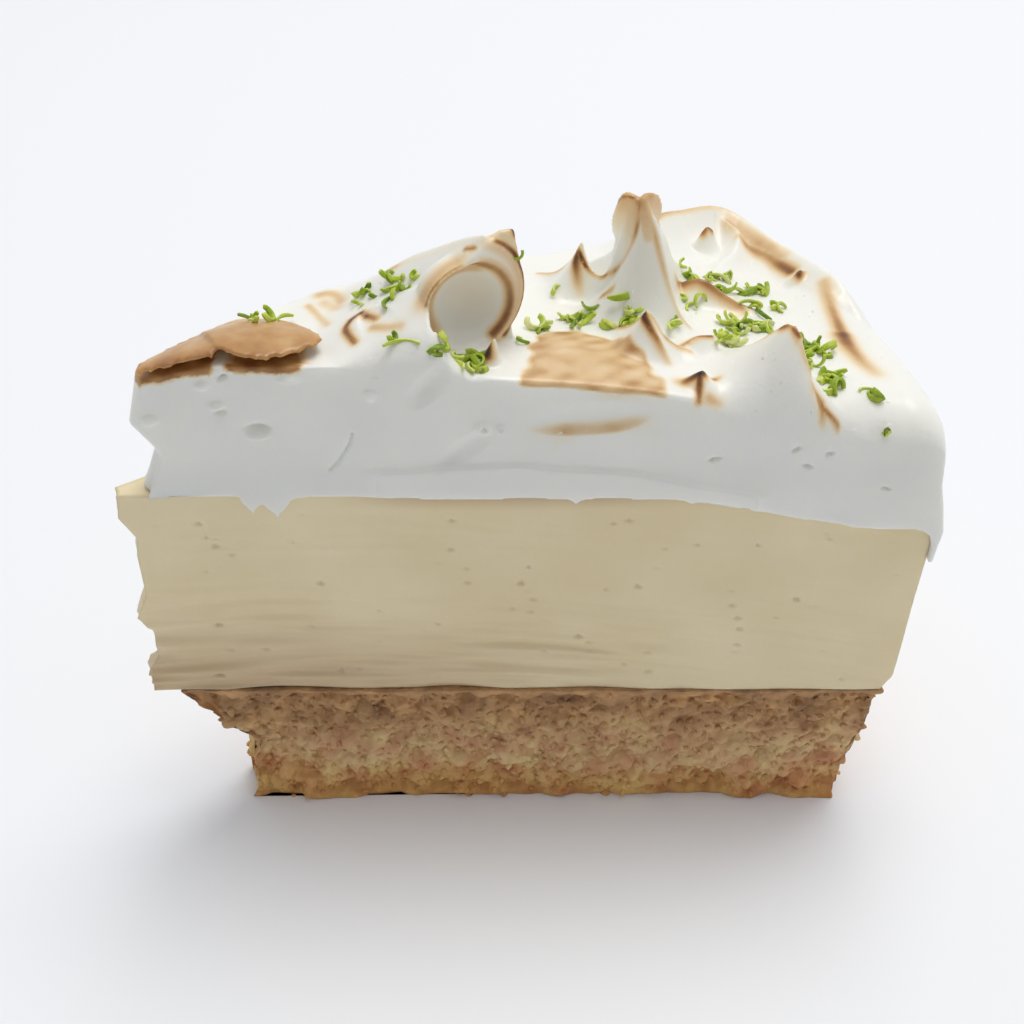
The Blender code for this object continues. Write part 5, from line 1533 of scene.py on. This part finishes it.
def shred_points(draw, middle_x, middle_y, unit):
    """One curled shred: a bent strip whose curl leans over, lying on the meringue."""
    u, v, w = unit.T
    heading = draw.uniform(0, 2 * math.pi)
    length = draw.uniform(*ZEST_LENGTH)
    width = draw.uniform(*ZEST_WIDTH)
    curl = draw.uniform(*ZEST_CURL) * draw.choice((-1, 1))
    lean = draw.uniform(*ZEST_LEAN)
    twist = draw.uniform(-ZEST_TWIST, ZEST_TWIST)
    bend = curl * (u - 0.5)
    narrow = 1 - 0.35 * np.abs(2 * u - 1) ** 5
    turned = twist * (2 * u - 1)
    across = (v - 0.5) * width * narrow
    thick = (w - 0.5) * ZEST_THICKNESS
    # Along the strip, out from its bend and across its bend's plane
    out = across * np.sin(turned) + thick * np.cos(turned)
    level = across * np.cos(turned) - thick * np.sin(turned)
    radius = length / curl
    along = (radius - out) * np.sin(bend)
    aside = radius - (radius - out) * np.cos(bend)
    flat = aside * math.cos(lean) - level * math.sin(lean)
    height = aside * math.sin(lean) + level * math.cos(lean)
    x = middle_x + along * math.cos(heading) - flat * math.sin(heading)
    y = np.maximum(middle_y + along * math.sin(heading) + flat * math.cos(heading), FRONT_MARGIN)
    ground = ground_height(middle_x, middle_y)
    return np.stack([x, y, ground + height - height.min() - ZEST_SUNK], axis=1)


draw = np.random.default_rng(ZEST_SEED)
shred_block = clay_block("shred", *SHRED_GRID)
shred_unit = read_points(shred_block)
zest_parts = bmesh.new()
zest_green = []
for x, y, reach, count in ZEST_TUFTS:
    for _ in range(count):
        turn = draw.uniform(0, 2 * math.pi)
        out = reach * math.sqrt(draw.uniform(0, 1))
        middle_y = max(y + out * math.sin(turn), FRONT_MARGIN)
        points = shred_points(draw, x + out * math.cos(turn), middle_y, shred_unit)
        write_points(shred_block, points)
        zest_parts.from_mesh(shred_block)
        zest_green.append(np.full(len(points), draw.uniform(0, 0.8)) - 0.35 * (shred_unit[:, 2] < 0.5))
zest_mesh = bpy.data.meshes.new("zest")
zest_parts.to_mesh(zest_mesh)
zest_parts.free()
write_values(zest_mesh, "green", np.concatenate(zest_green))
write_points(zest_mesh, in_part_frame(read_points(zest_mesh)))
zest_mesh.shade_smooth()
zest = linked(zest_mesh, "lime_zest")

# Lime peel is moist, with tiny oil glands that make its green side bumpy; its pith side is pale.
OIL_GLAND = 0.0006
GLAND_SHARE = 0.35
ZEST_BUMP = (0.4, 0.0002)
ZEST_SUBSURFACE = (0.25, (0.7, 1.0, 0.2), 0.0008)

zest_material, tree, shader = new_material("lime_peel", "#8fa52c", 0.45)
where = node(tree, "ShaderNodeTexCoord", {})
glands = noise(tree, where, OIL_GLAND, 2.0)
peel = ramp(
    tree,
    multiply_add(tree, glands, GLAND_SHARE, attribute(tree, "green")),
    ((0.0, "#dbe09a"), (1.0, "#5f7f16"), (0.25, "#c5d254"), (0.5, "#aec230"), (0.75, "#8ba51f")),
)
tree.links.new(peel, shader.inputs["Base Color"])
set_bump(tree, shader, glands, *ZEST_BUMP)
set_subsurface(shader, *ZEST_SUBSURFACE)
zest.data.materials.append(zest_material)
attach(zest, "root")
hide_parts("meringue")


low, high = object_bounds()
